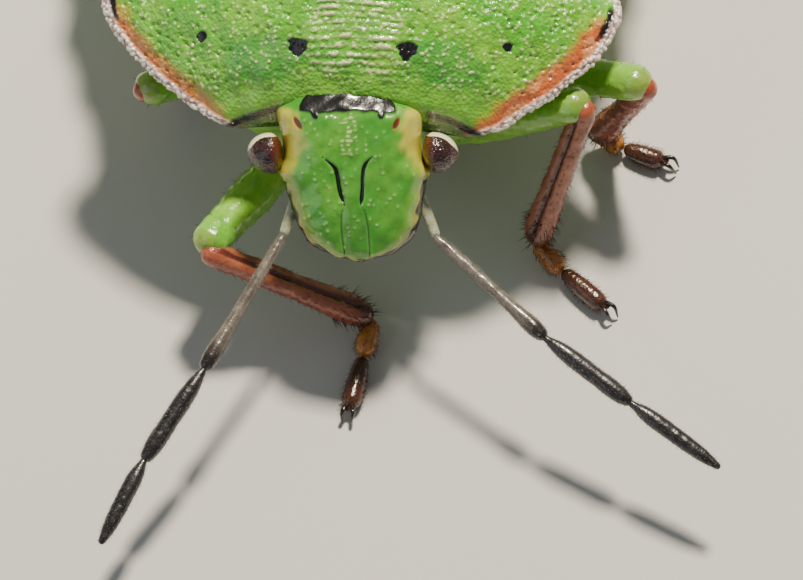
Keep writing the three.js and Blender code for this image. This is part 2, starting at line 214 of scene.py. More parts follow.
@dataclass
class Shell:
    """A mesh being made: points in the bug's millimetres, faces, and marks that finishes read."""

    points: Array
    quads: Array
    triangles: Array
    marks: dict[str, Array] = field(default_factory=dict)
    patches: Array | None = None

    @classmethod
    def skinned(cls, rings: Array, marks: dict[str, Array] | None = None) -> "Shell":
        """Skins rings into one closed surface, with a fan at each end.

        Args:
            rings: points of shape (rings, sides, 3); the sides close on themselves.
            marks: one value for each point of the rings, by the mark's name.

        Returns:
            The closed shell, with its faces pointing out.
        """
        rows, columns = rings.shape[:2]
        index = np.arange(rows * columns).reshape(rows, columns)
        beside = np.roll(index, -1, axis=1)
        quads = np.stack([index[:-1], beside[:-1], beside[1:], index[1:]], axis=-1).reshape(-1, 4)
        start = np.full(columns, rows * columns)
        fans = [np.stack([beside[0], index[0], start], axis=-1),
                np.stack([index[-1], beside[-1], start + 1], axis=-1)]
        points = np.concatenate([rings.reshape(-1, 3), rings[[0, -1]].mean(axis=1)])
        ends = {name: np.concatenate([np.broadcast_to(mark, (rows, columns)).ravel(),
                                      np.broadcast_to(mark, (rows, columns))[[0, -1]].mean(axis=1)])
                for name, mark in (marks or {}).items()}
        return cls(points, quads, np.concatenate(fans), ends).outward()

    def outward(self) -> "Shell":
        """Turns the faces outwards, judged by the sign of the volume that they enclose.

        Returns:
            The same shell.
        """
        a, b, c, d = (self.points[self.quads[:, k]] for k in range(4))
        volume = np.sum(a * (np.cross(b, c) + np.cross(c, d)))
        if len(self.triangles):
            a, b, c = (self.points[self.triangles[:, k]] for k in range(3))
            volume += np.sum(a * np.cross(b, c))
        if volume < 0:
            self.quads = self.quads[:, ::-1]
            self.triangles = self.triangles[:, ::-1]
        return self

    @classmethod
    def joined(cls, shells: Sequence["Shell"]) -> "Shell":
        """Joins several shells into one.

        Args:
            shells: the shells; a mark that one of them lacks is nought on it.

        Returns:
            The joined shell, with a chart only where all of them have one.
        """
        starts = np.cumsum([0] + [len(shell.points) for shell in shells[:-1]])
        names = sorted({name for shell in shells for name in shell.marks})
        marks = {name: np.concatenate([shell.marks.get(name, np.zeros(len(shell.points)))
                                       for shell in shells]) for name in names}
        patches = None
        if all(shell.patches is not None for shell in shells):
            patches = np.concatenate([shell.patches for shell in shells])
        return cls(np.concatenate([shell.points for shell in shells]),
                   np.concatenate([shell.quads + start for shell, start in zip(shells, starts)]),
                   np.concatenate([shell.triangles + start for shell, start in zip(shells, starts)]),
                   marks, patches)


@dataclass(frozen=True)
class Place:
    """Where the bug's own frame lies in the row's frame, and the making of finished pieces."""

    origin: Vector

    @classmethod
    def from_frame(cls, tail_end: float) -> "Place":
        """Finds the place from the abdomen, whose middle and tail end are known in both frames.

        Args:
            tail_end: Y of the tail end in the bug's own frame, in millimetres.

        Returns:
            The place.
        """
        low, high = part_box("abdomen")
        return cls(Vector(((low.x + high.x) / 2, high.y - tail_end * MM, 0)))

    def metres(self, points: Array) -> Array:
        """Bug millimetres as metres in the row's frame."""
        return points * MM + np.array(self.origin)

    def piece(self, name: str, shell: Shell, finish: bpy.types.Material, replaced: Sequence[str],
              slot: str) -> bpy.types.Object:
        """Makes a piece of the model from a shell.

        Args:
            name: the piece's name.
            shell: its shape and marks.
            finish: its material.
            replaced: the frame's nodes that it stands for.
            slot: the record's material slot for the piece; not used.

        Returns:
            The finished object, riding on the one body.
        """
        mesh = bpy.data.meshes.new(name)
        faces = shell.quads.tolist() + shell.triangles.tolist()
        mesh.from_pydata(self.metres(shell.points), [], faces)
        mesh.polygons.foreach_set("use_smooth", np.ones(len(faces), dtype=bool))
        for mark, values in shell.marks.items():
            mesh.attributes.new(mark, "FLOAT", "POINT").data.foreach_set("value", values)
        if shell.patches is not None:
            corners = np.empty(len(mesh.loops), dtype=np.int32)
            mesh.loops.foreach_get("vertex_index", corners)
            chart = mesh.uv_layers.new(name="OFBake")
            chart.data.foreach_set("uv", shell.patches[corners].ravel())
        mesh.materials.append(finish)
        mesh.update()
        piece = bpy.data.objects.new(name, mesh)
        bpy.context.collection.objects.link(piece)
        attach(piece, "root")
        if replaced:
            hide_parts(*replaced)
        LOG.info("%s: %d points, stands for %s", name, len(mesh.vertices), ", ".join(replaced) or "-")
        return piece


# Finishes


def linear(colour: str) -> tuple[float, float, float, float]:
    """An sRGB hex colour as the linear numbers that a shader reads."""
    parts = [int(colour[k:k + 2], 16) / 255 for k in (1, 3, 5)]
    return (*(p / 12.92 if p <= 0.04045 else ((p + 0.055) / 1.055) ** 2.4 for p in parts), 1.0)


def add_node(tree: bpy.types.NodeTree, kind: str, inputs: dict | None = None,
             **settings: object) -> bpy.types.Node:
    """Adds a node with its settings, values and links.

    Args:
        tree: the material's nodes.
        kind: the node's type.
        inputs: a value or another node's output, by the input's name or number.
        settings: the node's own settings.

    Returns:
        The new node.
    """
    node = tree.nodes.new(kind)
    for name, value in settings.items():
        setattr(node, name, value)
    for name, value in (inputs or {}).items():
        if isinstance(value, bpy.types.NodeSocket):
            tree.links.new(value, node.inputs[name])
        else:
            node.inputs[name].default_value = value
    return node


@dataclass(frozen=True)
class Layer:
    """A colour laid over a finish where one of its marks is high."""

    mark: str
    colour: str
    low: float = 0.0
    high: float = 1.0
    strength: float = 1.0


@dataclass(frozen=True)
class Cuticle:
    """Insect cuticle: chitin laid down in thin layers under a film of wax, as it grew.

    To the eye it is glossy over a faintly clear depth, with soft clouds in its colour and a fine
    grain that breaks the gloss.
    """

    name: str
    base: str
    deep: str
    pale: str
    layers: tuple[Layer, ...] = ()
    cloud_mm: float = 0.5
    # The real grain is finer than a pixel, so it is drawn just coarse enough to break the gloss.
    grain_mm: float = 0.03
    grain_depth_mm: float = 0.004
    speck_mm: float = 0.07
    speck_depth_mm: float = 0.0
    roughness: float = 0.32
    coat: float = 0.25
    coat_roughness: float = 0.06
    ior: float = 1.54
    depth: float = 0.12
    bleed_mm: float = 0.15
    bleed_colours: Point = (0.5, 1.0, 0.25)
    mottles_per_cloud: float = 4
    pale_range: tuple[float, float] = (0.35, 0.65)
    deep_range: tuple[float, float] = (0.42, 0.72)
    deep_share: float = 0.65

    def material(self) -> bpy.types.Material:
        """Builds the material: clouded colour, layers by mark, grain as bump.

        Returns:
            The new material, which reads Object coordinates and the piece's own marks.
        """
        material = bpy.data.materials.new(self.name)
        material.use_nodes = True
        tree = material.node_tree
        shader = tree.nodes["Principled BSDF"]
        place = add_node(tree, "ShaderNodeTexCoord").outputs["Object"]
        cloud = add_node(tree, "ShaderNodeTexNoise",
                         {"Vector": place, "Scale": 1 / (self.cloud_mm * MM), "Detail": 4.0})
        mottle_scale = self.mottles_per_cloud / (self.cloud_mm * MM)
        mottle = add_node(tree, "ShaderNodeTexNoise",
                          {"Vector": place, "Scale": mottle_scale, "Detail": 5.0})
        lighter = add_node(tree, "ShaderNodeMapRange", {
            0: cloud.outputs[0], 1: self.pale_range[0], 2: self.pale_range[1]})
        darker = add_node(tree, "ShaderNodeMapRange", {
            0: mottle.outputs[0], 1: self.deep_range[0], 2: self.deep_range[1],
            4: self.deep_share})
        colour = add_node(tree, "ShaderNodeMix", {0: lighter.outputs[0], 6: linear(self.base),
                                                  7: linear(self.pale)}, data_type="RGBA")
        colour = add_node(tree, "ShaderNodeMix", {0: darker.outputs[0], 6: colour.outputs[2],
                                                  7: linear(self.deep)}, data_type="RGBA")
        for layer in self.layers:
            mark = add_node(tree, "ShaderNodeAttribute", attribute_name=layer.mark)
            amount = add_node(tree, "ShaderNodeMapRange", {
                0: mark.outputs["Fac"], 1: layer.low, 2: layer.high, 4: layer.strength},
                interpolation_type="SMOOTHSTEP")
            colour = add_node(tree, "ShaderNodeMix", {
                0: amount.outputs[0], 6: colour.outputs[2], 7: linear(layer.colour)},
                data_type="RGBA")
        grain = add_node(tree, "ShaderNodeTexNoise",
                         {"Vector": place, "Scale": 1 / (self.grain_mm * MM), "Detail": 3.0})
        bump = add_node(tree, "ShaderNodeBump", {"Height": grain.outputs[0],
                                                 "Distance": self.grain_depth_mm * MM})
        if self.speck_depth_mm > 0:
            speck = add_node(tree, "ShaderNodeTexVoronoi",
                             {"Vector": place, "Scale": 1 / (self.speck_mm * MM)})
            bump = add_node(tree, "ShaderNodeBump", {
                "Height": speck.outputs["Distance"], "Normal": bump.outputs[0],
                "Distance": self.speck_depth_mm * MM})
        tree.links.new(colour.outputs[2], shader.inputs["Base Color"])
        tree.links.new(bump.outputs[0], shader.inputs["Normal"])
        shader.inputs["Roughness"].default_value = self.roughness
        shader.inputs["IOR"].default_value = self.ior
        shader.inputs["Coat Weight"].default_value = self.coat
        shader.inputs["Coat Roughness"].default_value = self.coat_roughness
        shader.inputs["Subsurface Weight"].default_value = self.depth
        shader.inputs["Subsurface Radius"].default_value = self.bleed_colours
        shader.inputs["Subsurface Scale"].default_value = self.bleed_mm * MM
        return material


# Shape of the trunk, shared by the skins that lie on it


@dataclass(frozen=True)
class TrunkForm:
    """The bare trunk under the plates: widths and heights along Y, in millimetres."""

    tail_end: float = 8.3
    abdomen_half_width: float = 3.52
    abdomen_widest_at: float = 4.4
    abdomen_reach: float = 3.9
    waist_at: float = 2.6
    segment: float = 0.86
    thorax_keel: float = 1.3
    abdomen_keel: float = 1.9
    keel_change: tuple[float, float] = (1.5, 4.0)
    front: Stations = ((-0.25, 1.2), (0, 1.42), (0.45, 2.0), (0.9, 2.58), (1.36, 2.98),
                       (1.9, 2.94), (2.6, 3.1))
    edge: Stations = ((-0.2, 2.25), (0.5, 2.4), (1.3, 2.55), (2.6, 2.5), (4.4, 2.36),
                      (6.4, 2.22), (8.3, 2.0))
    back: Stations = ((-0.2, 2.75), (0.45, 3.0), (1, 3.2), (2, 3.34), (3, 3.38), (4, 3.36),
                      (5, 3.27), (6, 2.97), (7, 2.62), (8, 2.2), (8.3, 2.06))
    belly: Stations = ((-0.2, 1.4), (0.1, 1.16), (1, 1.0), (2, 0.96), (4.5, 0.96), (5.5, 1.08),
                       (6.5, 1.32), (7.5, 1.63), (8.3, 1.92))

    def half_width(self, y: Array) -> Array:
        """Reads the trunk's half width.

        Formula: a curve in front of the waist, then a blunt oval (1 - q^2.2)^0.62, where q is
        the distance from the widest place over the reach.

        Args:
            y: places along the trunk.

        Returns:
            The half width at each place.
        """
        away = np.abs(y - self.abdomen_widest_at) / self.abdomen_reach
        oval = self.abdomen_half_width * np.maximum(0, 1 - away**2.2) ** 0.62
        return np.where(y < self.waist_at, smooth(self.front, y), oval)

    def back_height(self, x: Array, y: Array) -> Array:
        """Reads the height of the bare back.

        Formula: edge + (crest - edge)(1 - |x/w|^2.5)^0.9, where w is the half width.

        Args:
            x: places across, in plan.
            y: places along the trunk.

        Returns:
            The height at each place.
        """
        aside = np.clip(np.abs(x) / np.maximum(self.half_width(y), 1e-6), 0, 1)
        edge = smooth(self.edge, y)
        return edge + (smooth(self.back, y) - edge) * (1 - aside**2.5) ** 0.9

    def ring(self, y: Array, angle: Array) -> Array:
        """Points of the bare trunk.

        Formula: x is the half width times the cosine of the angle; above, z follows
        back_height; below, it falls by (edge - belly)(1 - |cos|^k), where k grows from the
        thorax's keel to the abdomen's.

        Args:
            y: place along the trunk.
            angle: angle round the ring, 0 at the left edge and a quarter turn at the crest.

        Returns:
            The points, with x, y, z on the last axis.
        """
        cosine = np.cos(angle)
        edge = smooth(self.edge, y)
        up = (smooth(self.back, y) - edge) * (1 - np.abs(cosine)**2.5) ** 0.9
        keel = self.thorax_keel \
            + (self.abdomen_keel - self.thorax_keel) * ease(*self.keel_change, y)
        down = (edge - smooth(self.belly, y)) * (1 - np.abs(cosine)**keel)
        rise = np.where(np.sin(angle) >= 0, up, -down)
        return np.stack([self.half_width(y) * cosine, y + 0 * angle, edge + rise], axis=-1)


FORM = TrunkForm()


def angles_round(top: int, under: int) -> Array:
    """Angles of one ring: a number of them over the top from the left edge, the rest under it."""
    return np.concatenate([np.linspace(0, math.pi, top, endpoint=False),
                           np.linspace(math.pi, TURN, under, endpoint=False)])


@dataclass(frozen=True)
class Trunk:
    """The skin of thorax and abdomen: one closed surface with the grooves between segments."""

    rows: int = 230
    top: int = 150
    under: int = 120
    start: float = -0.12
    crowding: float = 1.15
    abdomen_from: tuple[float, float] = (2.45, 2.75)
    groove_depth: float = 0.045
    groove_width: float = 0.05
    swell: float = 0.05
    margin_width: float = 0.62
    seam_width: float = 0.05
    seam_depth: float = 0.03
    pit_spacing: float = 0.15
    pit_radius: float = 0.035
    pit_depth: float = 0.012
    pit_share: float = 0.75
    gland_height: float = 0.07
    gland_places: Stations = ((4.86, 0.30), (5.72, 0.26), (3.99, 0.22))
    dots: tuple[tuple[float, float], ...] = ((0.95, 0.085), (1.7, 0.07), (2.35, 0.075))
    spot_along: float = 0.27
    spot_across: float = 0.36
    # Wax dulls the abdomen, so its gloss is softer than the shield's.
    finish: Cuticle = Cuticle(
        "cuticle of the abdomen, waxy green", "#72b23e", "#549a2c", "#94c45a",
        (Layer("under", "#b9cf8e"), Layer("dot", "#eef0d2"), Layer("groove", "#55803a", 0, 1, 0.7),
         Layer("gland_rim", "#2a1d1a"), Layer("gland", "#c2606a"), Layer("margin_rim", "#20201a"),
         Layer("margin_spot", "#e08a4c"), Layer("edge", "#d8cf9a")),
        cloud_mm=0.9, speck_depth_mm=0.006, roughness=0.36)

    def build(self, place: Place) -> None:
        """Builds and dresses the trunk's skin in place of the thorax and abdomen.

        Formula: rings of the bare trunk, raised along their normals by a swelling in each
        segment and by the gland scars, and cut by grooves, the margin's seam and pits.

        Args:
            place: maker of finished pieces.
        """
        # Rings crowd towards the tail, where the outline turns in.
        along = np.sin(np.linspace(0, 1, self.rows)[:, None] * math.pi / 2) ** self.crowding
        y = self.start + (FORM.tail_end - TIP_GAP - self.start) * along
        angle = angles_round(self.top, self.under)[None, :]
        rings = FORM.ring(y, angle)
        x = rings[..., 0]
        upper = np.sin(angle) >= 0
        width = np.maximum(FORM.half_width(y), 1e-3)
        inside = width - np.abs(x)
        phase = (FORM.tail_end - rings[..., 1]) / FORM.segment
        joint = np.abs(phase - np.round(phase)) * FORM.segment
        behind = ease(*self.abdomen_from, rings[..., 1])
        groove = np.exp(-(joint / self.groove_width) ** 2) * behind
        seam = np.exp(-((inside - self.margin_width) / self.seam_width) ** 2) * behind * upper
        glands = np.zeros_like(x)
        for centre, radius in self.gland_places:
            away = np.hypot(x / 1.7, rings[..., 1] - centre) / radius
            glands = np.maximum(glands, ease(1.6, 0.5, away) * upper)
        bulge = -self.swell * np.cos(TURN * phase) * ease(1.2, 0.2, inside) * behind
        height = (bulge - self.groove_depth * groove - self.seam_depth * seam
                  + self.gland_height * glands - self.pit_depth * self.pitting(rings, upper))
        marks = self.marks(rings, inside, phase, upper, behind, groove)
        skin = rings + ring_normals(rings) * height[..., None]
        place.piece("trunk_skin", Shell.skinned(skin, marks), self.finish.material(),
                    ("thorax", "abdomen"), "abdomen_green")

    def pitting(self, rings: Array, upper: Array) -> Array:
        """Scatters small pits over the trunk, shallower underneath.

        Args:
            rings: the points of the skin.
            upper: true on the back.

        Returns:
            1 in the middle of a pit and 0 away from it.
        """
        away, chance = scatter_field(rings, self.pit_spacing, 11)
        kept = np.where(upper, 1.0, 0.5) * (chance > 1 - self.pit_share)
        return np.exp(-(away / self.pit_radius) ** 2) * kept

    def marks(self, rings: Array, inside: Array, phase: Array, upper: Array, behind: Array,
              groove: Array) -> dict[str, Array]:
        """The markings of the back: gland scars, pale dots, and spots along the margin.

        Args:
            rings: the points of the skin.
            inside: distance from the side margin in plan.
            phase: number of segments from the tail.
            upper: true on the back.
            behind: 1 on the abdomen and 0 on the thorax.
            groove: 1 in the groove between two segments.

        Returns:
            The marks by name.
        """
        x, y = rings[..., 0], rings[..., 1]
        wobble = 0.04 * ripple(rings, 0.25, 5)
        middle = (phase - np.floor(phase) - 0.5) * FORM.segment
        inward = np.maximum(inside - 0.02, 0)
        spot = np.hypot(middle / self.spot_along, inward / self.spot_across) + wobble
        gland = np.full(x.shape, 9.0)
        for centre, radius in self.gland_places:
            gland = np.minimum(gland, np.hypot(x / 1.75, y - centre) / radius + wobble)
        dots = np.full(x.shape, 9.0)
        for across, radius in self.dots:
            dots = np.minimum(dots, np.hypot(np.abs(x) - across, middle * 0.9) / radius)
        on_back = upper * behind
        return {
            "under": ease(0.0, 0.35, np.where(upper, 0.0, inside)),
            "dot": ease(1.15, 0.75, dots) * on_back * ease(0.5, 0.8, inside),
            "groove": 0.9 * groove,
            "gland_rim": ease(1.28, 1.1, gland) * on_back,
            "gland": ease(1.06, 0.86, gland) * on_back,
            "margin_rim": ease(1.18, 1.06, spot) * on_back,
            "margin_spot": ease(1.0, 0.86, spot) * on_back,
            "edge": ease(0.05, 0.01, inside) * behind,
        }


@dataclass(frozen=True)
class Pronotum:
    """The broad shield behind the head: pitted green, with a beaded rim and an orange band."""

    rows: int = 174
    top: int = 524
    under: int = 40
    corner_at: float = -0.22
    rear_at: float = 1.78
    length: float = 1.62
    lip: float = 0.08
    front_bow: float = 0.13
    half: Stations = ((-0.22, 1.38), (-0.17, 1.6), (0, 1.93), (0.25, 2.29), (0.47, 2.56),
                      (0.73, 2.83), (1.0, 3.04), (1.2, 3.13), (1.36, 3.17), (1.6, 3.13),
                      (1.78, 2.95))
    edge: Stations = ((-0.22, 2.45), (0.5, 2.62), (1.36, 2.8), (1.78, 2.76))
    crest: Stations = ((-0.22, 3.0), (0.3, 3.37), (0.95, 3.68), (1.5, 3.82), (1.78, 3.84))
    spots: tuple[tuple[float, float, float], ...] = (
        (-0.72, 0.44, 0.095), (0.63, 0.42, 0.095), (-1.9, 0.63, 0.055), (1.85, 0.64, 0.055))
    band_width: Stations = ((-1, 0.15), (1, 0.21))
    band_strength: Stations = ((-1, 0.78), (1, 1.0))
    rim_width: float = 0.07
    bead_spacing: float = 0.05
    bead_radius: float = 0.025
    bead_height: float = 0.035
    rim_height: float = 0.012
    pit_spacing: float = 0.095
    pit_radius: float = 0.027
    pit_depth: float = 0.03
    grain_spacing: float = 0.062
    grain_radius: float = 0.018
    grain_height: float = 0.018
    wrinkle_step: float = 0.078
    wrinkle_height: float = 0.022
    spot_depth: float = 0.02
    callus_at: tuple[float, float] = (1.1, 0.34)
    callus_size: tuple[float, float] = (0.62, 0.3)
    # Parts of the way back that the front face, and the plain strip before the rim, take up.
    face: float = 0.004
    plain_strip: float = 0.014
    # Pits and grains break the shield's gloss into points of light, so its wax film is glossy. The
    # pale colour on the grains and middle wrinkles is partly their own tint and partly painted
    # glints; the band's lighter patches are painted glints, and the dark front face beside the head
    # is painted shade.
    finish: Cuticle = Cuticle(
        "cuticle of the pronotum, pitted glossy green", "#5ab824", "#389418", "#8ace34",
        (Layer("calli", "#3f9c3c", 0, 1, 0.6), Layer("pit", "#f2eeb0", 0, 0.9, 0.9),
         Layer("front", "#8cc040", 0, 1, 0.4), Layer("band", "#d86c34"),
         Layer("band_glow", "#e8a868", 0, 1, 0.6), Layer("corner", "#17120f"),
         Layer("rim", "#f1e4da"), Layer("rim_gap", "#84483a", 0, 1, 0.8),
         Layer("front_face", "#2c421c", 0, 1, 0.85), Layer("front_line", "#0f0d0b"),
         Layer("spot", "#0f0d0b")),
        cloud_mm=0.45, speck_mm=0.04, speck_depth_mm=0.01, roughness=0.24, coat=0.6)

    def rings(self, part: Array, angle: Array) -> Array:
        """Points of the shield.

        Formula: each ring spans the half width at its side corner; its middle is bowed by
        (1 - cos^2); above, z is the edge plus a rounded lip plus a dome (1 - |cos|^2.2)^1.1,
        and both ends are rounded to the middle of the lip.

        Args:
            part: part of the way from the front corners to the rear corners.
            angle: angle round the ring, 0 at the left edge.

        Returns:
            The points, with x, y, z on the last axis.
        """
        cosine = np.cos(angle)
        corner = self.corner_at + (self.rear_at - self.corner_at) * part
        bow = self.front_bow + (self.length - self.rear_at - self.front_bow) * part
        edge = smooth(self.edge, corner)
        lip = np.sqrt(1 - cosine**8) * self.lip * (0.5 + 0.5 * ease(-0.2, 0.3, corner))
        dome = (smooth(self.crest, corner) - edge - self.lip) * (1 - np.abs(cosine)**2.2) ** 1.1
        under = edge - lip + dome * 0.45
        over = edge + lip + dome
        rounding = np.sqrt((1 - 0.97 * ease(0.94, 1.0, part) ** 2)
                           * (1 - 0.97 * ease(0.05, 0.0, part) ** 2))
        middle = under + 0.35 * (over - under)
        z = middle + (np.where(np.sin(angle) >= 0, over, under) - middle) * rounding
        x = smooth(self.half, corner) * cosine
        return np.stack([x, corner + bow * (1 - cosine**2), z], axis=-1)

    def build(self, place: Place) -> None:
        """Builds and dresses the shield in place of its node.

        Args:
            place: maker of finished pieces.
        """
        part = np.linspace(0, 1, self.rows)[:, None]
        angle = angles_round(self.top, self.under)[None, :]
        rings = self.rings(part, angle)
        corner = self.corner_at + (self.rear_at - self.corner_at) * part + 0 * angle
        upper = np.sin(angle) >= -1e-9
        inside = smooth(self.half, corner) - np.abs(rings[..., 0])
        inside = np.where(upper, inside, -inside)
        rim = ease(self.rim_width + 0.03, self.rim_width - 0.03, inside) * ease(-0.07, -0.02, inside)
        rim = rim * ease(0.0, self.plain_strip, part)
        height, relief_marks = self.relief(rings, part, upper, rim)
        marks = self.marks(rings, part, inside, upper, rim, relief_marks.pop("bead"))
        skin = rings + ring_normals(rings) * height[..., None]
        place.piece("pronotum_shield", Shell.skinned(skin, marks | relief_marks),
                    self.finish.material(), ("pronotum",), "shell_green")

    def relief(self, rings: Array, part: Array, upper: Array,
               rim: Array) -> tuple[Array, dict[str, Array]]:
        """Works out the pits, grains, wrinkles, beads and sunken spots.

        Formula: each pit, grain and bead is exp(-(d / r)^2) of the distance to its centre; the
        wrinkles across the middle are sin^2 of the place along the shield.

        Args:
            rings: the points of the smooth shield.
            part: part of the way from the front corners to the rear corners.
            upper: true on top.
            rim: 1 on the beaded rim.

        Returns:
            The height to raise each point by, and the marks of what was raised or sunk.
        """
        x, y = rings[..., 0], rings[..., 1]
        behind_face = part > 0.01
        calli = ease(1.0, 0.5, np.hypot((np.abs(x) - self.callus_at[0]) / self.callus_size[0],
                                        (y - self.callus_at[1]) / self.callus_size[1]))
        middle = ease(0.75, 0.35, np.abs(x)) * ease(0.05, 0.25, y) * ease(1.35, 1.0, y)
        pits, chance = scatter_field(rings, self.pit_spacing, 3)
        pit = np.exp(-(pits / self.pit_radius) ** 2) * (chance > 0.15) * upper
        pit *= (1 - 0.75 * calli) * (1 - 0.6 * middle) * (1 - rim)
        pit *= (0.3 + 0.7 * ease(-0.02, 0.2, y)) * behind_face
        grains, size = scatter_field(rings, self.grain_spacing, 17)
        grain = np.exp(-(grains / self.grain_radius) ** 2) * ease(0.2, 0.6, size) * upper * (1 - rim)
        grain *= ease(-0.05, 0.15, y) * behind_face
        wave = (y + 0.014 * ripple(rings, 0.5, 8)) / self.wrinkle_step
        wrinkle = np.sin(math.pi * wave) ** 2
        wrinkle *= middle * (0.3 + 0.7 * ease(-0.2, 0.6, ripple(rings, 0.1, 9)))
        beads, _ = scatter_field(rings, self.bead_spacing, 21)
        bead = np.exp(-(beads / self.bead_radius) ** 2)
        spot = self.spot_mark(rings)
        height = (self.wrinkle_height * wrinkle - self.pit_depth * pit
                  + self.bead_height * bead * rim + self.rim_height * rim * upper
                  + self.grain_height * grain - self.spot_depth * spot
                  + 0.012 * ripple(rings, 0.35, 4) * upper)
        return height, {"bead": bead, "calli": calli * upper, "spot": spot * upper,
                        # The pit mark here covers the grains and middle wrinkles; its pale colour is
                        # partly their own tint and partly painted glints.
                        "pit": np.maximum(grain, 0.8 * wrinkle)}

    def spot_mark(self, rings: Array) -> Array:
        """Marks the black spots: discs at given places, made ragged by a soft random field.

        Args:
            rings: the points of the smooth shield.

        Returns:
            1 in a spot and 0 away from it.
        """
        x, y = rings[..., 0], rings[..., 1]
        ragged = 0.25 * ripple(rings, 0.11, 6)
        mark = np.zeros_like(x)
        for across, along, radius in self.spots:
            away = np.hypot((x - across) / 1.1, y - along) / radius + ragged
            mark = np.maximum(mark, ease(1.15, 0.9, away))
        return mark

    def marks(self, rings: Array, part: Array, inside: Array, upper: Array, rim: Array,
              bead: Array) -> dict[str, Array]:
        """Works out the colours along the margins: beads, orange band with painted glints, black
        corner and line, and painted shade on the front face.

        Args:
            rings: the points of the smooth shield.
            part: part of the way from the front corners to the rear corners.
            inside: distance from the side margin in plan.
            upper: true on top.
            rim: 1 on the beaded rim.
            bead: 1 on top of a bead.

        Returns:
            The marks by name.
        """
        x, y = rings[..., 0], rings[..., 1]
        corner = self.corner_at + (self.rear_at - self.corner_at) * part
        behind_face = part > self.face
        beside_head = ease(0.8, 0.95, np.abs(x))
        ragged = 0.025 * ripple(rings, 0.22, 13)
        band_edge = self.rim_width + smooth(self.band_width, np.sign(x)) \
            * ease(-0.3, 0.1, corner) * behind_face
        band = ease(band_edge + 0.15, band_edge - 0.12, inside + ragged) * upper \
            * ease(1.4, 1.05, corner) * behind_face * smooth(self.band_strength, np.sign(x))
        # Lighter patches in the orange band: painted glints.
        glint_patches = ease(0.55, 0.8, 0.5 + 0.5 * ripple(rings, 0.2, 14))
        dark_width = self.rim_width + 0.1
        dark = ease(dark_width, dark_width - 0.05, inside + 0.5 * ragged)
        return {
            "band": band,
            "band_glow": band * glint_patches,
            "corner": dark * ease(0.9, 1.1, corner) * ease(1.55, 1.35, corner),
            "rim": rim,
            "rim_gap": rim * ease(0.35, 0.1, bead),
            "front": ease(0.22, 0.04, y + 0.05 * ripple(rings, 0.3, 15)) * upper * (inside > 0.3),
            # The front face beside the head is painted dark: painted shade under the front margin.
            "front_face": ease(0.01, self.face, part) * beside_head,
            "front_line": ease(0.03, 0.018, part) * ease(self.face, 0.01, part) * beside_head,
        }


@dataclass(frozen=True)
class BackPlate:
    """The scutellum or a wing pad: a thin plate that lies on the back."""

    name: str
    node: str
    tip: float
    inner: Stations
    outer: Stations
    mirrored: int = 1
    start: float = 1.52
    thickness: float = 0.5
    tip_thickness: float = 0.24
    thin_from: float = 1.62
    thin_to: float = 4.95
    shoulder: float = 3.15
    side_loss: float = 0.45
    depth: float = 0.3
    rows: int = 110
    sides: int = 150
    spots: tuple[tuple[float, float, float], ...] = ()
    pit_spacing: float = 0.11
    pit_radius: float = 0.032
    pit_depth: float = 0.018
    spot_depth: float = 0.015
    # Shallower pits than the shield's leave a smoother, slightly duller gloss. The pale tint in the
    # pits is partly their own colour and partly painted glints, and the dark band along the edges is
    # partly the plates' thin outline and partly painted shadow.
    finish: Cuticle = Cuticle(
        "cuticle of the back plates, pitted glossy green", "#5eb42a", "#40981e", "#8aca3a",
        (Layer("pit", "#c2d070", 0, 1, 0.6), Layer("edge", "#35601f", 0, 1, 0.7),
         Layer("spot", "#0f0d0b")),
        cloud_mm=0.5, speck_mm=0.05, speck_depth_mm=0.008, roughness=0.28, coat=0.45)

    def build(self, place: Place) -> None:
        """Builds and dresses the plate in place of its node.

        Formula: x runs between the plan edges with the cosine of the angle; above, z is the
        bare back plus a thickness that falls towards the side and runs out at the tip, rounded
        at the edges by the root of the sine; below, it sinks into the back.

        Args:
            place: maker of finished pieces.
        """
        along = np.sin(np.linspace(0, 1, self.rows) * math.pi / 2)[:, None]
        y = self.start + (self.tip - TIP_GAP - self.start) * along
        angle = angles_round(self.sides * 2 // 3, self.sides // 3)[None, :]
        inner, outer = smooth(self.inner, y), smooth(self.outer, y)
        x = (inner + (outer - inner) * (0.5 + 0.5 * np.cos(angle))) * self.mirrored
        y = y + 0 * angle
        thin = ease(self.thin_from, self.thin_to, y)
        thickness = self.thickness + (self.tip_thickness - self.thickness) * thin
        thickness = thickness * (1 - self.side_loss * (x / self.shoulder) ** 2)
        reached = (y - self.start) / (self.tip - self.start)
        thickness = thickness * np.sqrt(np.clip(1 - reached**6, 0, 1))
        rounding = np.abs(np.sin(angle)) ** 0.5
        base = FORM.back_height(x, y)
        upper = np.sin(angle) >= 0
        z = np.where(upper, base + thickness * (0.3 + 0.7 * rounding),
                     base + thickness * 0.3 - (self.depth + 0.3 * thickness) * rounding)
        rings = np.stack([x, y, z], axis=-1)
        pits, chance = scatter_field(rings, self.pit_spacing, 31)
        pit = np.exp(-(pits / self.pit_radius) ** 2) * (chance > 0.2) * upper
        spot = np.zeros_like(x)
        for across, back, radius in self.spots:
            away = np.hypot(np.abs(x) - across, y - back) / radius + 0.2 * ripple(rings, 0.1, 6)
            spot = np.maximum(spot, ease(1.12, 0.9, away) * upper)
        height = (0.01 * ripple(rings, 0.3, 33) * upper - self.pit_depth * pit
                  - self.spot_depth * spot)
        # The pale pit tint is partly painted glints; the edge mark's dark band is partly the plate's
        # outline and partly painted shadow.
        marks = {"pit": pit, "spot": spot, "edge": ease(0.35, 0.1, rounding + 0 * x)}
        skin = rings + ring_normals(rings) * height[..., None]
        place.piece(self.name, Shell.skinned(skin, marks), self.finish.material(), (self.node,),
                    "shell_green")


# Head


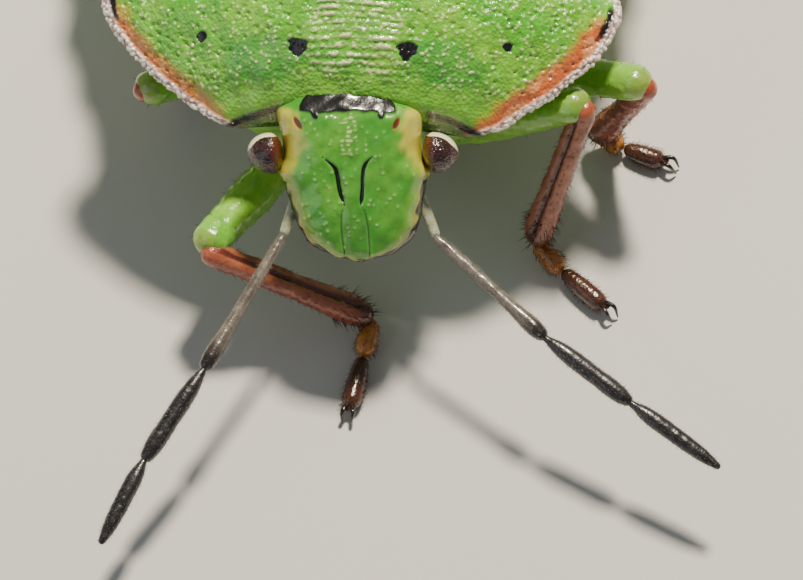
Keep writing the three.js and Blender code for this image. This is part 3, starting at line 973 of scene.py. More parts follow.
@dataclass(frozen=True)
class Head:
    """The head capsule: side lobes, the tylus between its grooves, and the markings.

    Places on it are (x, ahead): to the bug's left, and from the hind edge towards the apex.
    """

    length: float = 2.04
    start: float = -0.4
    origin: Point = (-0.072, 0.02, 2.98)
    pitch: float = 33
    yaw: float = 2.9
    lean: float = 0.069
    rim_drop: float = 0.2
    rows: int = 210
    top: int = 200
    under: int = 70
    half: Stations = ((-0.4, 0.55), (-0.15, 0.8), (0.1, 0.9), (0.35, 0.88), (0.6, 0.85),
                      (0.8, 0.85), (0.98, 0.92), (1.12, 0.845), (1.4, 0.763), (1.68, 0.668),
                      (1.86, 0.527), (1.957, 0.354), (2.04, 0.02))
    dome: Stations = ((-0.4, -0.5), (-0.2, -0.2), (-0.06, 0.065), (0.06, 0.115), (0.2, 0.172),
                      (0.5, 0.22), (1.2, 0.18), (1.6, 0.13), (2.04, 0.01))
    depth: Stations = ((-0.4, 0.85), (0.2, 0.98), (0.7, 0.9), (1.2, 0.55), (1.6, 0.33),
                       (1.9, 0.14), (2.04, 0.02))
    cuts: tuple[Stations, ...] = (
        ((0.78, -0.36), (0.84, -0.285), (0.9, -0.23), (1.0, -0.205), (1.12, -0.195),
         (1.25, -0.175), (1.36, -0.145)),
        ((0.76, 0.26), (0.83, 0.175), (0.9, 0.13), (1.0, 0.107), (1.15, 0.092),
         (1.3, 0.068), (1.38, 0.05)))
    seams: tuple[Stations, ...] = (
        ((1.4, -0.17), (1.55, -0.195), (1.8, -0.2), (2.0, -0.185)),
        ((1.4, 0.09), (1.55, 0.115), (1.8, 0.12), (2.0, 0.11)))
    ocelli: tuple[tuple[float, float, float], ...] = ((-0.64, 0.36, 1.0), (0.56, 0.37, -1.0))
    sink: float = 0.3
    tylus_height: float = 0.03
    cut_width: float = 0.024
    cut_depth: float = 0.04
    seam_width: float = 0.014
    seam_depth: float = 0.018
    cheek_height: float = 0.012
    edge_height: float = 0.02
    band_height: float = 0.015
    ocellus_depth: float = 0.015
    grain_spacing: float = 0.085
    grain_radius: float = 0.019
    grain_height: float = 0.012
    fold_step: float = 0.055
    fold_height: float = 0.01
    # The head has few pits and a thick film of wax, so it is smoother and glossier than the back. The
    # pale colour on its grains and midline folds is partly their own tint and partly painted glints.
    finish: Cuticle = Cuticle(
        "cuticle of the head, glossy green", "#469a2c", "#2f8222", "#68ac34",
        (Layer("side", "#8cb43c", 0, 1, 0.6), Layer("patch", "#c8bf48", 0, 1, 0.9),
         Layer("pit", "#e2e6a4", 0, 1, 0.8), Layer("tip", "#3f7f2c", 0, 1, 0.45),
         Layer("amber", "#b8a040", 0, 1, 0.7), Layer("under", "#a9bf78", 0, 1, 0.8),
         Layer("seam", "#2f5a20", 0.2, 0.9, 0.75), Layer("groove", "#0d1207", 0.15, 0.6),
         Layer("ocellus", "#94501a", 0, 0.5), Layer("ocellus", "#3a1c08", 0.7, 1.0, 0.8),
         Layer("edge", "#14120c"), Layer("band", "#08090a")),
        cloud_mm=0.4, grain_depth_mm=0.0015, speck_mm=0.05, speck_depth_mm=0.0015,
        roughness=0.24, coat=0.6)

    @property
    def pose(self) -> Array:
        """The turn from the head's own axes to the bug's: pitch down, then yaw."""
        pitch = Matrix.Rotation(math.radians(self.pitch), 3, "X")
        return np.array(Matrix.Rotation(math.radians(self.yaw), 3, "Z") @ pitch)

    def placed(self, x: Array, ahead: Array, z: Array) -> Array:
        """Points given on the head, set in the bug's frame; its middle line leans a little."""
        own = np.stack(np.broadcast_arrays(x + self.lean * ahead, -ahead, z), axis=-1)
        return own @ self.pose.T + np.array(self.origin)

    def build(self, place: Place) -> None:
        """Builds and dresses the head in place of its node.

        Formula: x is the half width times the cosine of the angle; above, z is the dome times
        the root of 1 - cos^4, less the drop of the rim; below, it falls by
        depth (1 - |cos|^2.4). The tylus is a ridge and the grooves beside it are cut in.

        Args:
            place: maker of finished pieces.
        """
        part = np.linspace(0, 1, self.rows)
        ahead = (self.start + (self.length - self.start) * np.sin(part * math.pi / 2))[:, None]
        angle = angles_round(self.top, self.under)[None, :]
        cosine = np.cos(angle)
        half = smooth(self.half, ahead)
        x = half * cosine
        ahead = ahead + 0 * angle
        upper = np.sin(angle) >= 0
        over = (smooth(self.dome, ahead) + self.rim_drop) * np.sqrt(1 - cosine**4)
        under = -smooth(self.depth, ahead) * (1 - np.abs(cosine)**2.4)
        # The hind end sinks under the front margin of the pronotum, most at its sides.
        sink = self.sink * ease(0.34, -0.1, ahead) * (0.3 + 0.7 * cosine**2)
        z = np.where(upper, over, under) - self.rim_drop - sink
        rings = self.placed(x, ahead, z)
        edge = half - np.abs(x)
        relief, marks = self.dress(rings, x, ahead, edge, upper)
        skin = rings + ring_normals(rings) * relief[..., None]
        place.piece("head_capsule", Shell.skinned(skin, marks), self.finish.material(),
                    ("head",), "head_green")

    def dress(self, rings: Array, x: Array, ahead: Array, edge: Array,
              upper: Array) -> tuple[Array, dict[str, Array]]:
        """Works out the head's relief and its marks.

        Args:
            rings: the points of the smooth head.
            x: places across the head.
            ahead: places along the head.
            edge: distance from the side edge in plan.
            upper: true on top.

        Returns:
            The height to raise each point by, and the marks by name.
        """
        from_side = ease(1.05, 1.2, ahead)
        tylus = ease(0.17, 0.09, np.abs(x)) * ease(0.8, 1.05, ahead) * ease(2.04, 1.9, ahead)
        cut = self.line(x, ahead, self.cuts, self.cut_width) * upper
        seam = self.line(x, ahead, self.seams, self.seam_width) * upper
        cheeks = ease(0.3, 0.5, np.abs(x)) * ease(0.95, 1.25, ahead) * ease(1.95, 1.7, ahead)
        patch = self.patch(x, ahead, rings)
        band = self.base_band(x, ahead, rings)
        grains, chance = scatter_field(rings, self.grain_spacing, 41)
        grain = np.exp(-(grains / self.grain_radius) ** 2) * (chance > 0.4) * upper * (1 - patch)
        grain *= (1 - ease(0.32, 0.2, ahead)) * (1 - band)
        folds = self.folds(x, ahead, rings) * upper
        ocellus = self.ocellus_mark(x, ahead)
        relief = (self.tylus_height * tylus - self.cut_depth * cut - self.seam_depth * seam
                  + self.cheek_height * cheeks + self.grain_height * grain
                  + self.fold_height * folds + self.band_height * band
                  - self.ocellus_depth * ocellus + 0.008 * ripple(rings, 0.3, 43) * upper
                  + self.edge_height * ease(0.07, 0.02, edge) * from_side * upper)
        in_front = ease(1.0, 1.1, ahead)
        line = 0.03 + 0.012 * ripple(rings, 0.15, 44)
        return relief, {
            "side": ease(0.24, 0.08, edge) * ease(0.2, 0.35, ahead) * upper,
            "patch": patch * upper,
            # The pale pit colour on the grains and folds is partly their own tint and partly painted
            # glints.
            "pit": np.maximum(0.6 * grain, folds),
            "tip": tylus * ease(1.32, 1.5, ahead),
            "amber": ease(0.08, 0.045, edge) * in_front * upper,
            "under": ease(0.02, 0.2, np.where(upper, 0, edge)),
            "seam": seam,
            "groove": cut,
            "ocellus": ocellus * upper,
            "edge": ease(line + 0.02, line, edge) * in_front,
            "band": band * upper,
        }

    def folds(self, x: Array, ahead: Array, rings: Array) -> Array:
        """Fine broken folds across the middle of the forehead.

        Formula: sin^2 of the place along the head, kept near the middle line and broken by a
        soft random field.

        Args:
            x: places across the head.
            ahead: places along the head.
            rings: the points of the smooth head.

        Returns:
            1 on top of a fold and 0 between folds.
        """
        wave = np.sin(math.pi * (ahead + 0.01 * ripple(rings, 0.2, 47)) / self.fold_step) ** 2
        near_middle = ease(0.13, 0.07, np.abs(x + 0.03))
        between = ease(0.2, 0.28, ahead) * ease(0.8, 0.68, ahead)
        return wave * near_middle * between * ease(-0.2, 0.5, ripple(rings, 0.09, 48))

    def ocellus_mark(self, x: Array, ahead: Array) -> Array:
        """Marks the two simple eyes: slanted ovals near the hind corners.

        Args:
            x: places across the head.
            ahead: places along the head.

        Returns:
            1 in an ocellus and 0 away from it.
        """
        mark = np.zeros_like(x)
        for across, along, lean in self.ocelli:
            slanted = x - across - 0.45 * lean * (ahead - along)
            away = np.hypot(slanted / 0.036, (ahead - along) / 0.075)
            mark = np.maximum(mark, ease(1.15, 0.75, away))
        return mark

    def line(self, x: Array, ahead: Array, courses: Sequence[Stations], width: float) -> Array:
        """Thin lines cut along the head, tapered at their ends.

        Formula: exp(-(d / w)^2), where d is the distance from the course across its slope and
        w shrinks to nought at the first and last stations.

        Args:
            x: places across the head.
            ahead: places along the head.
            courses: for each line, how far across it lies at places along the head.
            width: half width of a line in millimetres.

        Returns:
            1 in the middle of a line and 0 away from it.
        """
        mark = np.zeros(x.shape)
        for course in courses:
            first, last = course[0][0], course[-1][0]
            slope = (smooth(course, ahead + 0.01) - smooth(course, ahead - 0.01)) / 0.02
            away = np.abs(x - smooth(course, ahead)) / np.sqrt(1 + slope**2)
            taper = ease(first - 0.02, first + 0.15, ahead) * ease(last + 0.02, last - 0.12, ahead)
            mark = np.maximum(mark, np.exp(-(away / (width * np.maximum(taper, 1e-3))) ** 2))
        return mark

    def patch(self, x: Array, ahead: Array, rings: Array) -> Array:
        """Marks the yellow patch beside each eye, from the hind edge to the bump before the eye.

        Args:
            x: places across the head.
            ahead: places along the head.
            rings: the points of the smooth head.

        Returns:
            1 in a patch and 0 away from it.
        """
        inner = 0.68 + 0.1 * ease(0.6, 1.0, ahead) - 0.05 * np.cos((ahead - 0.55) * 5)
        inner = inner + 0.03 * ripple(rings, 0.2, 45)
        return ease(inner - 0.15, inner + 0.09, np.abs(x)) * ease(0.12, 0.24, ahead) \
            * ease(1.08, 0.98, ahead)

    def base_band(self, x: Array, ahead: Array, rings: Array) -> Array:
        """Marks the shiny black crescent at the head's hind edge, with a hook at each side.

        Formula: the crescent lies between a lower and an upper curve of the place across the
        head, and a hook is the neighbourhood of a short chain of lines.

        Args:
            x: places across the head.
            ahead: places along the head.
            rings: the points of the smooth head.

        Returns:
            1 on the crescent and 0 away from it.
        """
        from_middle = np.abs(x + 0.02)
        across = from_middle / 0.585
        low = 0.225 + 0.02 * np.exp(-((from_middle - 0.4) / 0.14) ** 2)
        low = low + 0.008 * ripple(rings, 0.12, 46)
        high = -0.2 + 0.36 * across**2.5
        crescent = ease(low + 0.02, low - 0.015, ahead) * ease(high - 0.02, high + 0.02, ahead)
        hook = near_path(from_middle, ahead, ((0.45, 0.16), (0.42, 0.22), (0.4, 0.275)))
        return np.maximum(crescent * ease(1.03, 0.97, across), ease(0.055, 0.025, hook))


@dataclass(frozen=True)
class Eye:
    """A compound eye: fine facets over dark pigment, with a cream band along its hind edge."""

    side: Side
    centre: Point = (1.0, 0.735, -0.13)
    radii: Point = (0.285, 0.25, 0.31)
    inner_radius: float = 0.15
    rows: int = 130
    columns: int = 160
    facet: float = 0.033
    facet_height: float = 0.007
    cream_width: float = 0.18
    # Each facet is a clear lens over dark pigment: a deep colour with many small lights.
    finish: Cuticle = Cuticle(
        "corneal facets over dark pigment", "#26130f", "#120909", "#43262a",
        (Layer("inner", "#5a2416", 0, 1, 0.7), Layer("cream", "#f4eec8")),
        cloud_mm=0.12, grain_depth_mm=0.001, roughness=0.22, coat=0.5, depth=0.05)

    def build(self, place: Place, head: Head) -> None:
        """Builds and dresses the eye in place of its node.

        Formula: an ellipsoid whose poles lie fore and aft, flatter against the head, raised by a
        low dome over each of its scattered facets.

        Args:
            place: maker of finished pieces.
            head: the head that it sits on.
        """
        part = np.linspace(0.004, 0.996, self.rows)[:, None] * math.pi
        angle = np.linspace(0, TURN, self.columns, endpoint=False)[None, :]
        across = np.sin(part) * np.cos(angle)
        ahead = np.cos(part) + 0 * angle
        up = np.sin(part) * np.sin(angle)
        outer = across * self.side.value > 0
        ball = np.stack([across * np.where(outer, self.radii[0], self.inner_radius),
                         ahead * self.radii[1], up * self.radii[2]], -1)
        facets, _ = scatter_field(ball, self.facet, 51)
        cream = self.cream(across * self.side.value, ahead, up)
        dome = np.clip(1 - (facets / (0.6 * self.facet)) ** 2, 0, 1) * (1 - cream)
        ball = ball * (1 + self.facet_height * dome / self.radii[1])[..., None]
        x, y, z = self.centre
        rings = head.placed(self.side.value * x + ball[..., 0], y + ball[..., 1], z + ball[..., 2])
        marks = {"cream": cream, "inner": ease(0.1, -0.35, across * self.side.value)}
        name = f"eye_{self.side.word}"
        place.piece(f"{name}_globe", Shell.skinned(rings, marks), self.finish.material(),
                    (name,), "eye_brown")

    def cream(self, across: Array, ahead: Array, up: Array) -> Array:
        """Marks the cream band: an even strip inside the globe's hind edge as seen from above.

        Args:
            across: part of the globe's outward radius.
            ahead: part of its fore radius.
            up: part of its upward radius.

        Returns:
            1 on the band and 0 away from it.
        """
        inside = 1 - np.hypot(np.maximum(across, 0), ahead)
        width = self.cream_width * ease(0.05, -0.5, ahead) * ease(-0.4, 0.0, up)
        return ease(width + 0.03, width - 0.03, inside)


# Limbs


@dataclass(frozen=True)
class Course:
    """A smooth line through a few points, read by the part of the way along it."""

    points: tuple[Point, ...]
    up: Point = (0, 0, 1)

    def frames(self, part: Array) -> tuple[Array, Array, Array, Array]:
        """Reads the line.

        Formula: cubic Hermite curves through the points over their chord lengths; the side
        axis is the cross product of the tangent and up, and the lift axis completes it.

        Args:
            part: parts of the way along, from 0 to 1.

        Returns:
            The place, tangent, side and lift at each part.
        """
        points = np.array(self.points, dtype=float)
        steps = np.linalg.norm(np.diff(points, axis=0), axis=1)
        chords = np.concatenate([[0], np.cumsum(steps)]) / steps.sum()
        fine = np.linspace(0, 1, 240)
        line = np.stack([smooth(list(zip(chords, points[:, k])), fine) for k in range(3)], axis=-1)
        ways = unit(np.gradient(line, axis=0))
        spot = np.stack([np.interp(part, fine, line[:, k]) for k in range(3)], axis=-1)
        tangent = unit(np.stack([np.interp(part, fine, ways[:, k]) for k in range(3)], axis=-1))
        side = unit(np.cross(tangent, np.array(self.up, dtype=float)))
        return spot, tangent, side, np.cross(side, tangent)

    @property
    def length(self) -> float:
        """Length of the chain of points."""
        return float(np.linalg.norm(np.diff(np.array(self.points), axis=0), axis=1).sum())


@dataclass(frozen=True)
class Rod:
    """A limb segment: a rod along a course, with rounded ends and a shaped section."""

    course: Course
    girth: Stations
    flat: float = 1.0
    ridges: float = 0.0
    channel: float = 0.0
    channel_width: float = 0.13
    floor: float | None = None

    def radius(self, part: Array, angle: Array) -> Array:
        """Reads the radius of the rod.

        Formula: the girth there, times a quarter-circle rounding at each end, times
        1 + ridges cos(3 angle), less a narrow channel along the top.

        Args:
            part: parts of the way along.
            angle: angles round the axis, a quarter turn on top.

        Returns:
            The radius at each part and angle.
        """
        girth = smooth(self.girth, part)
        ends = (self.girth[0][1] / self.course.length, self.girth[-1][1] / self.course.length)
        past = np.maximum(0, np.maximum(1 - part / ends[0], 1 - (1 - part) / ends[1]))
        rounding = np.sqrt(np.clip(1 - past**2, 0.0004, 1))
        top = angle - math.pi / 2
        body = ease(0.06, 0.2, part) * ease(0.97, 0.85, part)
        shape = 1 + self.ridges * np.cos(3 * top + math.pi) * body
        shape -= self.channel * np.exp(-(np.sin(top / 2) / self.channel_width) ** 2) * body
        return girth * rounding * shape

    def surface(self, part: Array, angle: Array) -> tuple[Array, Array]:
        """Points of the rod and the directions straight out of its axis.

        Args:
            part: parts of the way along.
            angle: angles round the axis.

        Returns:
            The points and the outward directions.
        """
        part, angle = np.broadcast_arrays(part, angle)
        spot, _, side, lift = self.course.frames(part)
        way = side * np.cos(angle)[..., None] + lift * self.flat * np.sin(angle)[..., None]
        points = spot + way * self.radius(part, angle)[..., None]
        if self.floor is not None:
            points[..., 2] = np.maximum(points[..., 2], self.floor)
        return points, unit(way)

    def shell(self, rows: int, sides: int, relief: Callable[[Array], Array] | None = None,
              **extra: float) -> Shell:
        """Skins the rod.

        Args:
            rows: rings along the rod.
            sides: points round it.
            relief: gives the height to raise points by.
            extra: marks with one value over the whole rod.

        Returns:
            The shell, marked with the part of the way along and how far a point is on top.
        """
        part = (1 - np.cos(np.linspace(0, 1, rows) * math.pi)) / 2
        part = (0.35 * part + 0.65 * np.linspace(0, 1, rows))[:, None]
        angle = (np.arange(sides) * TURN / sides)[None, :]
        rings, way = self.surface(part, angle)
        if relief is not None:
            rings = rings + way * relief(rings)[..., None]
            if self.floor is not None:
                rings[..., 2] = np.maximum(rings[..., 2], self.floor)
        marks = {"along": part + 0 * angle, "top": 0.5 + 0.5 * np.sin(angle) + 0 * part}
        marks.update({name: np.full(rings.shape[:2], value) for name, value in extra.items()})
        return Shell.skinned(rings, marks)


@dataclass(frozen=True)
class Bristles:
    """Fine stiff hairs on rods: three-sided needles that lean towards the tip."""

    length: float
    radius: float
    count: int
    lean: float = 0.6
    spread: float = 0.25
    seed: int = 0
    within: tuple[float, float] = (0.05, 0.97)

    def shell(self, rod: Rod, share: float = 1.0, offset: float = 0.0) -> Shell:
        """Sets hairs on a rod.

        Formula: roots are spread evenly by the golden angle with a random shift; each needle
        has a triangle at its root, one half way along that is shifted by the bend, and a tip.

        Args:
            rod: the rod that they grow from.
            share: part of the count that this rod takes.
            offset: shift of the roots' patches across the chart.

        Returns:
            The needles as one shell with their patches on the chart.
        """
        count = max(3, int(self.count * share))
        random = np.random.default_rng(self.seed)
        order = np.arange(count)
        part = self.within[0] + (self.within[1] - self.within[0]) * (order + 0.5) / count
        part = np.clip(part + random.normal(0, 0.01, count), 0.01, 0.99)
        angle = (order * GOLDEN_ANGLE + random.normal(0, 0.25, count)) % TURN
        roots, outward = rod.surface(part, angle)
        _, tangent, _, _ = rod.course.frames(part)
        way = unit(outward + tangent * self.lean + random.normal(0, self.spread, (count, 3)))
        long = (self.length * random.uniform(0.65, 1.25, count))[:, None]
        roots = roots - outward * self.radius
        side = unit(np.cross(way, tangent + 0.01))
        lift = np.cross(side, way)
        turns = np.arange(3) * TURN / 3
        ring = side[:, None] * np.cos(turns)[:, None] + lift[:, None] * np.sin(turns)[:, None]
        middle = roots + way * long * 0.5 + outward * long * 0.04
        tip = roots + way * long + tangent * long * 0.08
        points = np.concatenate([roots[:, None] + ring * self.radius,
                                 middle[:, None] + ring * self.radius * 0.7, tip[:, None]], axis=1)
        points[..., 2] = np.maximum(points[..., 2], 0.0)
        first = order[:, None, None] * 7
        quads = first + np.array([[0, 1, 4, 3], [1, 2, 5, 4], [2, 0, 3, 5]])
        triangles = first + np.array([[2, 1, 0], [3, 4, 6], [4, 5, 6], [5, 3, 6]])
        corner = np.stack([part * 0.9 + 0.05, (angle / TURN * 0.9 + offset) % 1.0], axis=-1)
        tuft = HALF_PATCH * np.array([[0, 0], [1, 0], [0, 1], [0, 1], [1, 1], [1, 2], [2, 2]])
        patches = (corner[:, None] + tuft).reshape(-1, 2)
        return Shell(points.reshape(-1, 3), quads.reshape(-1, 4), triangles.reshape(-1, 3),
                     {"along": np.repeat(part, 7)}, patches)


@dataclass(frozen=True)
class LegFinishes:
    """The cuticles of a leg, from the body outwards."""

    coxa: bpy.types.Material
    femur: bpy.types.Material
    tibia: bpy.types.Material
    tarsus: bpy.types.Material
    bristle: bpy.types.Material

    @classmethod
    def made(cls) -> "LegFinishes":
        """Builds the finishes that all six legs share.

        Returns:
            The finishes.
        """
        # Thin new cuticle at the leg bases: pale and soft in its gloss.
        coxa = Cuticle("cuticle of the leg bases, pale green", "#8fb35c", "#6f9a40", "#aac678",
                       roughness=0.35)
        # Smooth waxed thighs show one sharp light along their length.
        femur = Cuticle("cuticle of the thighs, glossy green", "#74b834", "#4f9822", "#98cc4c",
                        (Layer("along", "#8a8a3c", 0.92, 1.0, 0.6),),
                        cloud_mm=0.5, speck_mm=0.06, speck_depth_mm=0.004, roughness=0.2, coat=0.6)
        # Tanned shins: darker towards the foot, brighter at the knee. Their upper side is painted
        # lighter as painted light from above, and the dark stripe in the channel on top is painted
        # shadow.
        tibia = Cuticle("cuticle of the shins, red-brown", "#823a2c", "#56211f", "#a65540",
                        (Layer("top", "#ac6a48", 0.55, 0.9, 0.5),
                         Layer("top", "#43181a", 0.965, 0.995, 0.85),
                         Layer("along", "#a8502c", 0.12, 0.0, 0.7),
                         Layer("along", "#3c1c14", 0.8, 1.0, 0.8)),
                        cloud_mm=0.4, speck_mm=0.05, speck_depth_mm=0.006, roughness=0.26, coat=0.4)
        # The feet are the hardest, so the most deeply tanned, and shine like horn.
        tarsus = Cuticle("cuticle of the feet, amber to dark brown", "#a8641c", "#7a4214", "#c8842e",
                         (Layer("toe", "#3c1c14", 0, 1, 0.95), Layer("claw", "#1c0f0b")),
                         cloud_mm=0.25, speck_mm=0.05, speck_depth_mm=0.006, roughness=0.25,
                         coat=0.5)
        # Bristles are thin drawn-out chitin, too fine for more than a dull glint.
        bristle = Cuticle("bristles of the legs, dark chitin", "#2c1a14", "#1a0f0c", "#4a2f22",
                          grain_depth_mm=0.0005, roughness=0.35, coat=0.1)
        return cls(*(finish.material() for finish in (coxa, femur, tibia, tarsus, bristle)))


@dataclass(frozen=True)
class Leg:
    """One leg: coxa, femur, tibia and foot along five joints."""

    name: str
    joints: tuple[Point, ...]
    seed: int
    coxa_girth: float = 0.33
    femur_girth: Stations = ((0, 0.18), (0.1, 0.21), (0.45, 0.275), (0.8, 0.24), (0.95, 0.22),
                             (1, 0.19))
    tibia_girth: Stations = ((0, 0.13), (0.07, 0.15), (0.2, 0.155), (0.6, 0.165), (0.92, 0.18),
                             (1, 0.15))
    heel_girth: Stations = ((0, 0.085), (0.25, 0.105), (0.8, 0.125), (1, 0.085))
    toe_girth: Stations = ((0, 0.07), (0.2, 0.1), (0.65, 0.125), (0.88, 0.112), (1, 0.07))
    claw_girth: Stations = ((0, 0.034), (0.4, 0.028), (1, 0.009))
    pad_girth: Stations = ((0, 0.025), (0.6, 0.036), (1, 0.025))
    waist_part: float = 0.4
    waist_height: float = 0.15
    toe_part: float = 0.8
    toe_height: float = 0.13
    claw_length: float = 0.18
    claw_spread: float = 0.05
    claw_lift: float = 0.05
    toe_back: float = 0.05
    unevenness: float = 0.006

    def build(self, place: Place, finishes: LegFinishes) -> None:
        """Builds the leg's pieces in place of its nodes.

        Args:
            place: maker of finished pieces.
            finishes: the legs' shared materials.
        """
        socket, hip, knee, ankle, _ = self.joints
        coxa = Rod(Course((socket, hip)), ((0, self.coxa_girth), (1, self.coxa_girth)))
        femur = Rod(Course((hip, knee)), self.femur_girth, flat=0.94)
        tibia = Rod(Course((knee, ankle)), self.tibia_girth, ridges=0.07, channel=0.2)
        foot, foot_rods = self.foot()
        for part, shell, finish, slot in (
                ("coxa", coxa.shell(40, 48, self.uneven), finishes.coxa, "leg_green"),
                ("femur", femur.shell(90, 64, self.uneven), finishes.femur, "leg_green"),
                ("tibia", tibia.shell(100, 72, self.uneven), finishes.tibia, "tibia_red")):
            node = f"{self.name}_{part}"
            place.piece(f"{node}_skin", shell, finish, (node,), slot)
        place.piece(f"{self.name}_foot", foot, finishes.tarsus, (f"{self.name}_tarsus",),
                    "tarsus_brown")
        place.piece(f"{self.name}_bristles", self.coat(femur, tibia, foot_rods), finishes.bristle,
                    (), "tarsus_brown")

    def uneven(self, rings: Array) -> Array:
        """Height of the leg's soft unevenness at each point."""
        return self.unevenness * ripple(rings, 0.2, self.seed)

    def coat(self, femur: Rod, tibia: Rod, foot_rods: Sequence[Rod]) -> Shell:
        """Sets the bristles on the leg, longest at the end of the tibia.

        Args:
            femur: the rod of the femur.
            tibia: the rod of the tibia.
            foot_rods: the rods of the two foot segments.

        Returns:
            All of the leg's bristles as one shell.
        """
        thigh = Bristles(length=0.07, radius=0.004, count=70, lean=0.9, seed=self.seed)
        shin = Bristles(length=0.07, radius=0.004, count=170, lean=1.1, seed=self.seed + 1,
                        within=(0.12, 0.99))
        comb = Bristles(length=0.13, radius=0.006, count=90, lean=0.9, seed=self.seed + 7,
                        within=(0.78, 0.99))
        shells = [thigh.shell(femur, offset=0.0), shin.shell(tibia, offset=0.25),
                  comb.shell(tibia, offset=0.4)]
        for number, rod in enumerate(foot_rods):
            sole = Bristles(length=0.07, radius=0.0045, count=130, lean=0.9,
                            seed=self.seed + 2 + number)
            shells.append(sole.shell(rod, offset=0.5 + 0.2 * number))
        return Shell.joined(shells)

    def foot(self) -> tuple[Shell, list[Rod]]:
        """Builds the two foot segments, the claws and the pads between them.

        Formula: the segments meet at a waist part of the way to the tip; each claw is a rod
        that arches over the floor, and each pad is a short rod beside it.

        Returns:
            The foot as one shell, and the rods of its two segments.
        """
        ankle, tip = np.array(self.joints[3]), np.array(self.joints[4])
        ahead = unit((tip - ankle) * np.array([1, 1, 0]))
        aside = np.array([-ahead[1], ahead[0], 0])
        tip = tip - ahead * self.toe_back
        waist = ankle + (tip - ankle) * self.waist_part
        waist[2] = self.waist_height
        toe = ankle + (tip - ankle) * self.toe_part
        toe[2] = self.toe_height
        heel_rod = Rod(Course((tuple(ankle), tuple((ankle + waist) / 2), tuple(waist))),
                       self.heel_girth, floor=0.0)
        toe_rod = Rod(Course((tuple(waist), tuple(toe), tuple(tip))), self.toe_girth, floor=0.0)
        shells = [heel_rod.shell(60, 48), toe_rod.shell(70, 48, toe=1.0)]
        for spread in (-self.claw_spread, self.claw_spread):
            root = tip - ahead * 0.06 + aside * spread * 0.5 + np.array([0, 0, 0.02])
            bend = tip + ahead * self.claw_length * 0.5 + aside * spread * 1.3
            bend[2] += self.claw_lift
            end = tip + ahead * self.claw_length + aside * spread
            end[2] = 0.03
            pad_end = tip + ahead * self.claw_length * 0.3 + aside * spread * 0.5
            claw = Rod(Course((tuple(root), tuple(bend), tuple(end))), self.claw_girth, floor=0.0)
            pad = Rod(Course((tuple(root), tuple(pad_end))), self.pad_girth, floor=0.0)
            shells += [claw.shell(24, 14, claw=1.0), pad.shell(18, 16, toe=1.0)]
        return Shell.joined(shells), [heel_rod, toe_rod]


@dataclass(frozen=True)
class Feeler:
    """One antenna: four jointed segments with fine pale down on the outer three."""

    side: Side
    joints: tuple[Point, ...]
    seed: int
    overlap: float = 0.07
    unevenness: float = 0.002
    down_length: float = 0.045
    down_radius: float = 0.002
    down_count: int = 460
    full_length: float = 1.4
    slots: tuple[str, ...] = ("feeler_green", "feeler_grey", "feeler_black", "feeler_black")
    girths: tuple[Stations, ...] = (
        ((0, 0.06), (0.5, 0.07), (1, 0.06)),
        ((0, 0.045), (0.1, 0.058), (0.7, 0.08), (0.93, 0.1), (1, 0.07)),
        ((0, 0.035), (0.06, 0.045), (0.16, 0.08), (0.6, 0.11), (0.9, 0.098), (1, 0.06)),
        ((0, 0.035), (0.06, 0.045), (0.18, 0.085), (0.5, 0.1), (0.85, 0.075), (1, 0.035)))

    def build(self, place: Place, finishes: Sequence[bpy.types.Material],
              down: bpy.types.Material) -> None:
        """Builds the segments in place of their nodes, and the down on them.

        Args:
            place: maker of finished pieces.
            finishes: the material of each segment.
            down: the material of the fine hairs.
        """
        coats = []
        for number, (finish, slot, girth) in enumerate(zip(finishes, self.slots, self.girths)):
            start, end = np.array(self.joints[number]), np.array(self.joints[number + 1])
            if number > 0:
                start = start - unit(end - start) * self.overlap
            rod = Rod(Course((tuple(start), tuple(end))), girth, flat=0.9)
            name = f"antenna_{self.side.word}_{number + 1}"
            place.piece(f"{name}_skin", rod.shell(80, 40, self.uneven), finish, (name,), slot)
            if number > 0:
                hairs = Bristles(self.down_length, self.down_radius, self.down_count, lean=0.8,
                                 spread=0.3, seed=self.seed + number)
                coats.append(hairs.shell(rod, rod.course.length / self.full_length,
                                         offset=0.3 * number))
        place.piece(f"antenna_{self.side.word}_down", Shell.joined(coats), down, (), "feeler_grey")

    def uneven(self, rings: Array) -> Array:
        """Height of the feeler's soft unevenness at each point."""
        return self.unevenness * ripple(rings, 0.12, self.seed)


@dataclass(frozen=True)
class Rostrum:
    """The sucking beak: four segments from the front of the head back between the legs."""

    course: tuple[Point, ...] = ((0.08, -1.2, 1.85), (0.06, -0.75, 1.5), (0.02, 0.1, 0.98),
                                 (0, 1.2, 0.78), (0, 2.75, 0.74))
    segments: int = 4
    root_girth: float = 0.15
    tip_girth: float = 0.05
    segment_girth: float = 0.17
    girth_loss: float = 0.02
    waist_loss: float = 0.035
    waist_length: float = 0.03
    # A plain smooth sheath, duller than the back, which darkens where it is hardest.
    finish: Cuticle = Cuticle("cuticle of the beak, pale green with a dark tip", "#9ab56c",
                              "#7d9c52", "#b3c98a", (Layer("along", "#22201a", 0.9, 1.0),),
                              roughness=0.35)

    def build(self, place: Place) -> None:
        """Builds and dresses the beak in place of its node, with a waist at each joint.

        Args:
            place: maker of finished pieces.
        """
        girth = [(0.0, self.root_girth)]
        for number in range(1, self.segments):
            joint = number / self.segments
            width = self.segment_girth - self.girth_loss * number
            girth += [(joint - self.waist_length, width), (joint, width - self.waist_loss),
                      (joint + self.waist_length, width - self.girth_loss / 2)]
        girth.append((1.0, self.tip_girth))
        beak = Rod(Course(self.course), tuple(girth), flat=0.85)
        place.piece("beak", beak.shell(150, 48), self.finish.material(), ("rostrum",),
                    "belly_green")


# Light, floor and camera


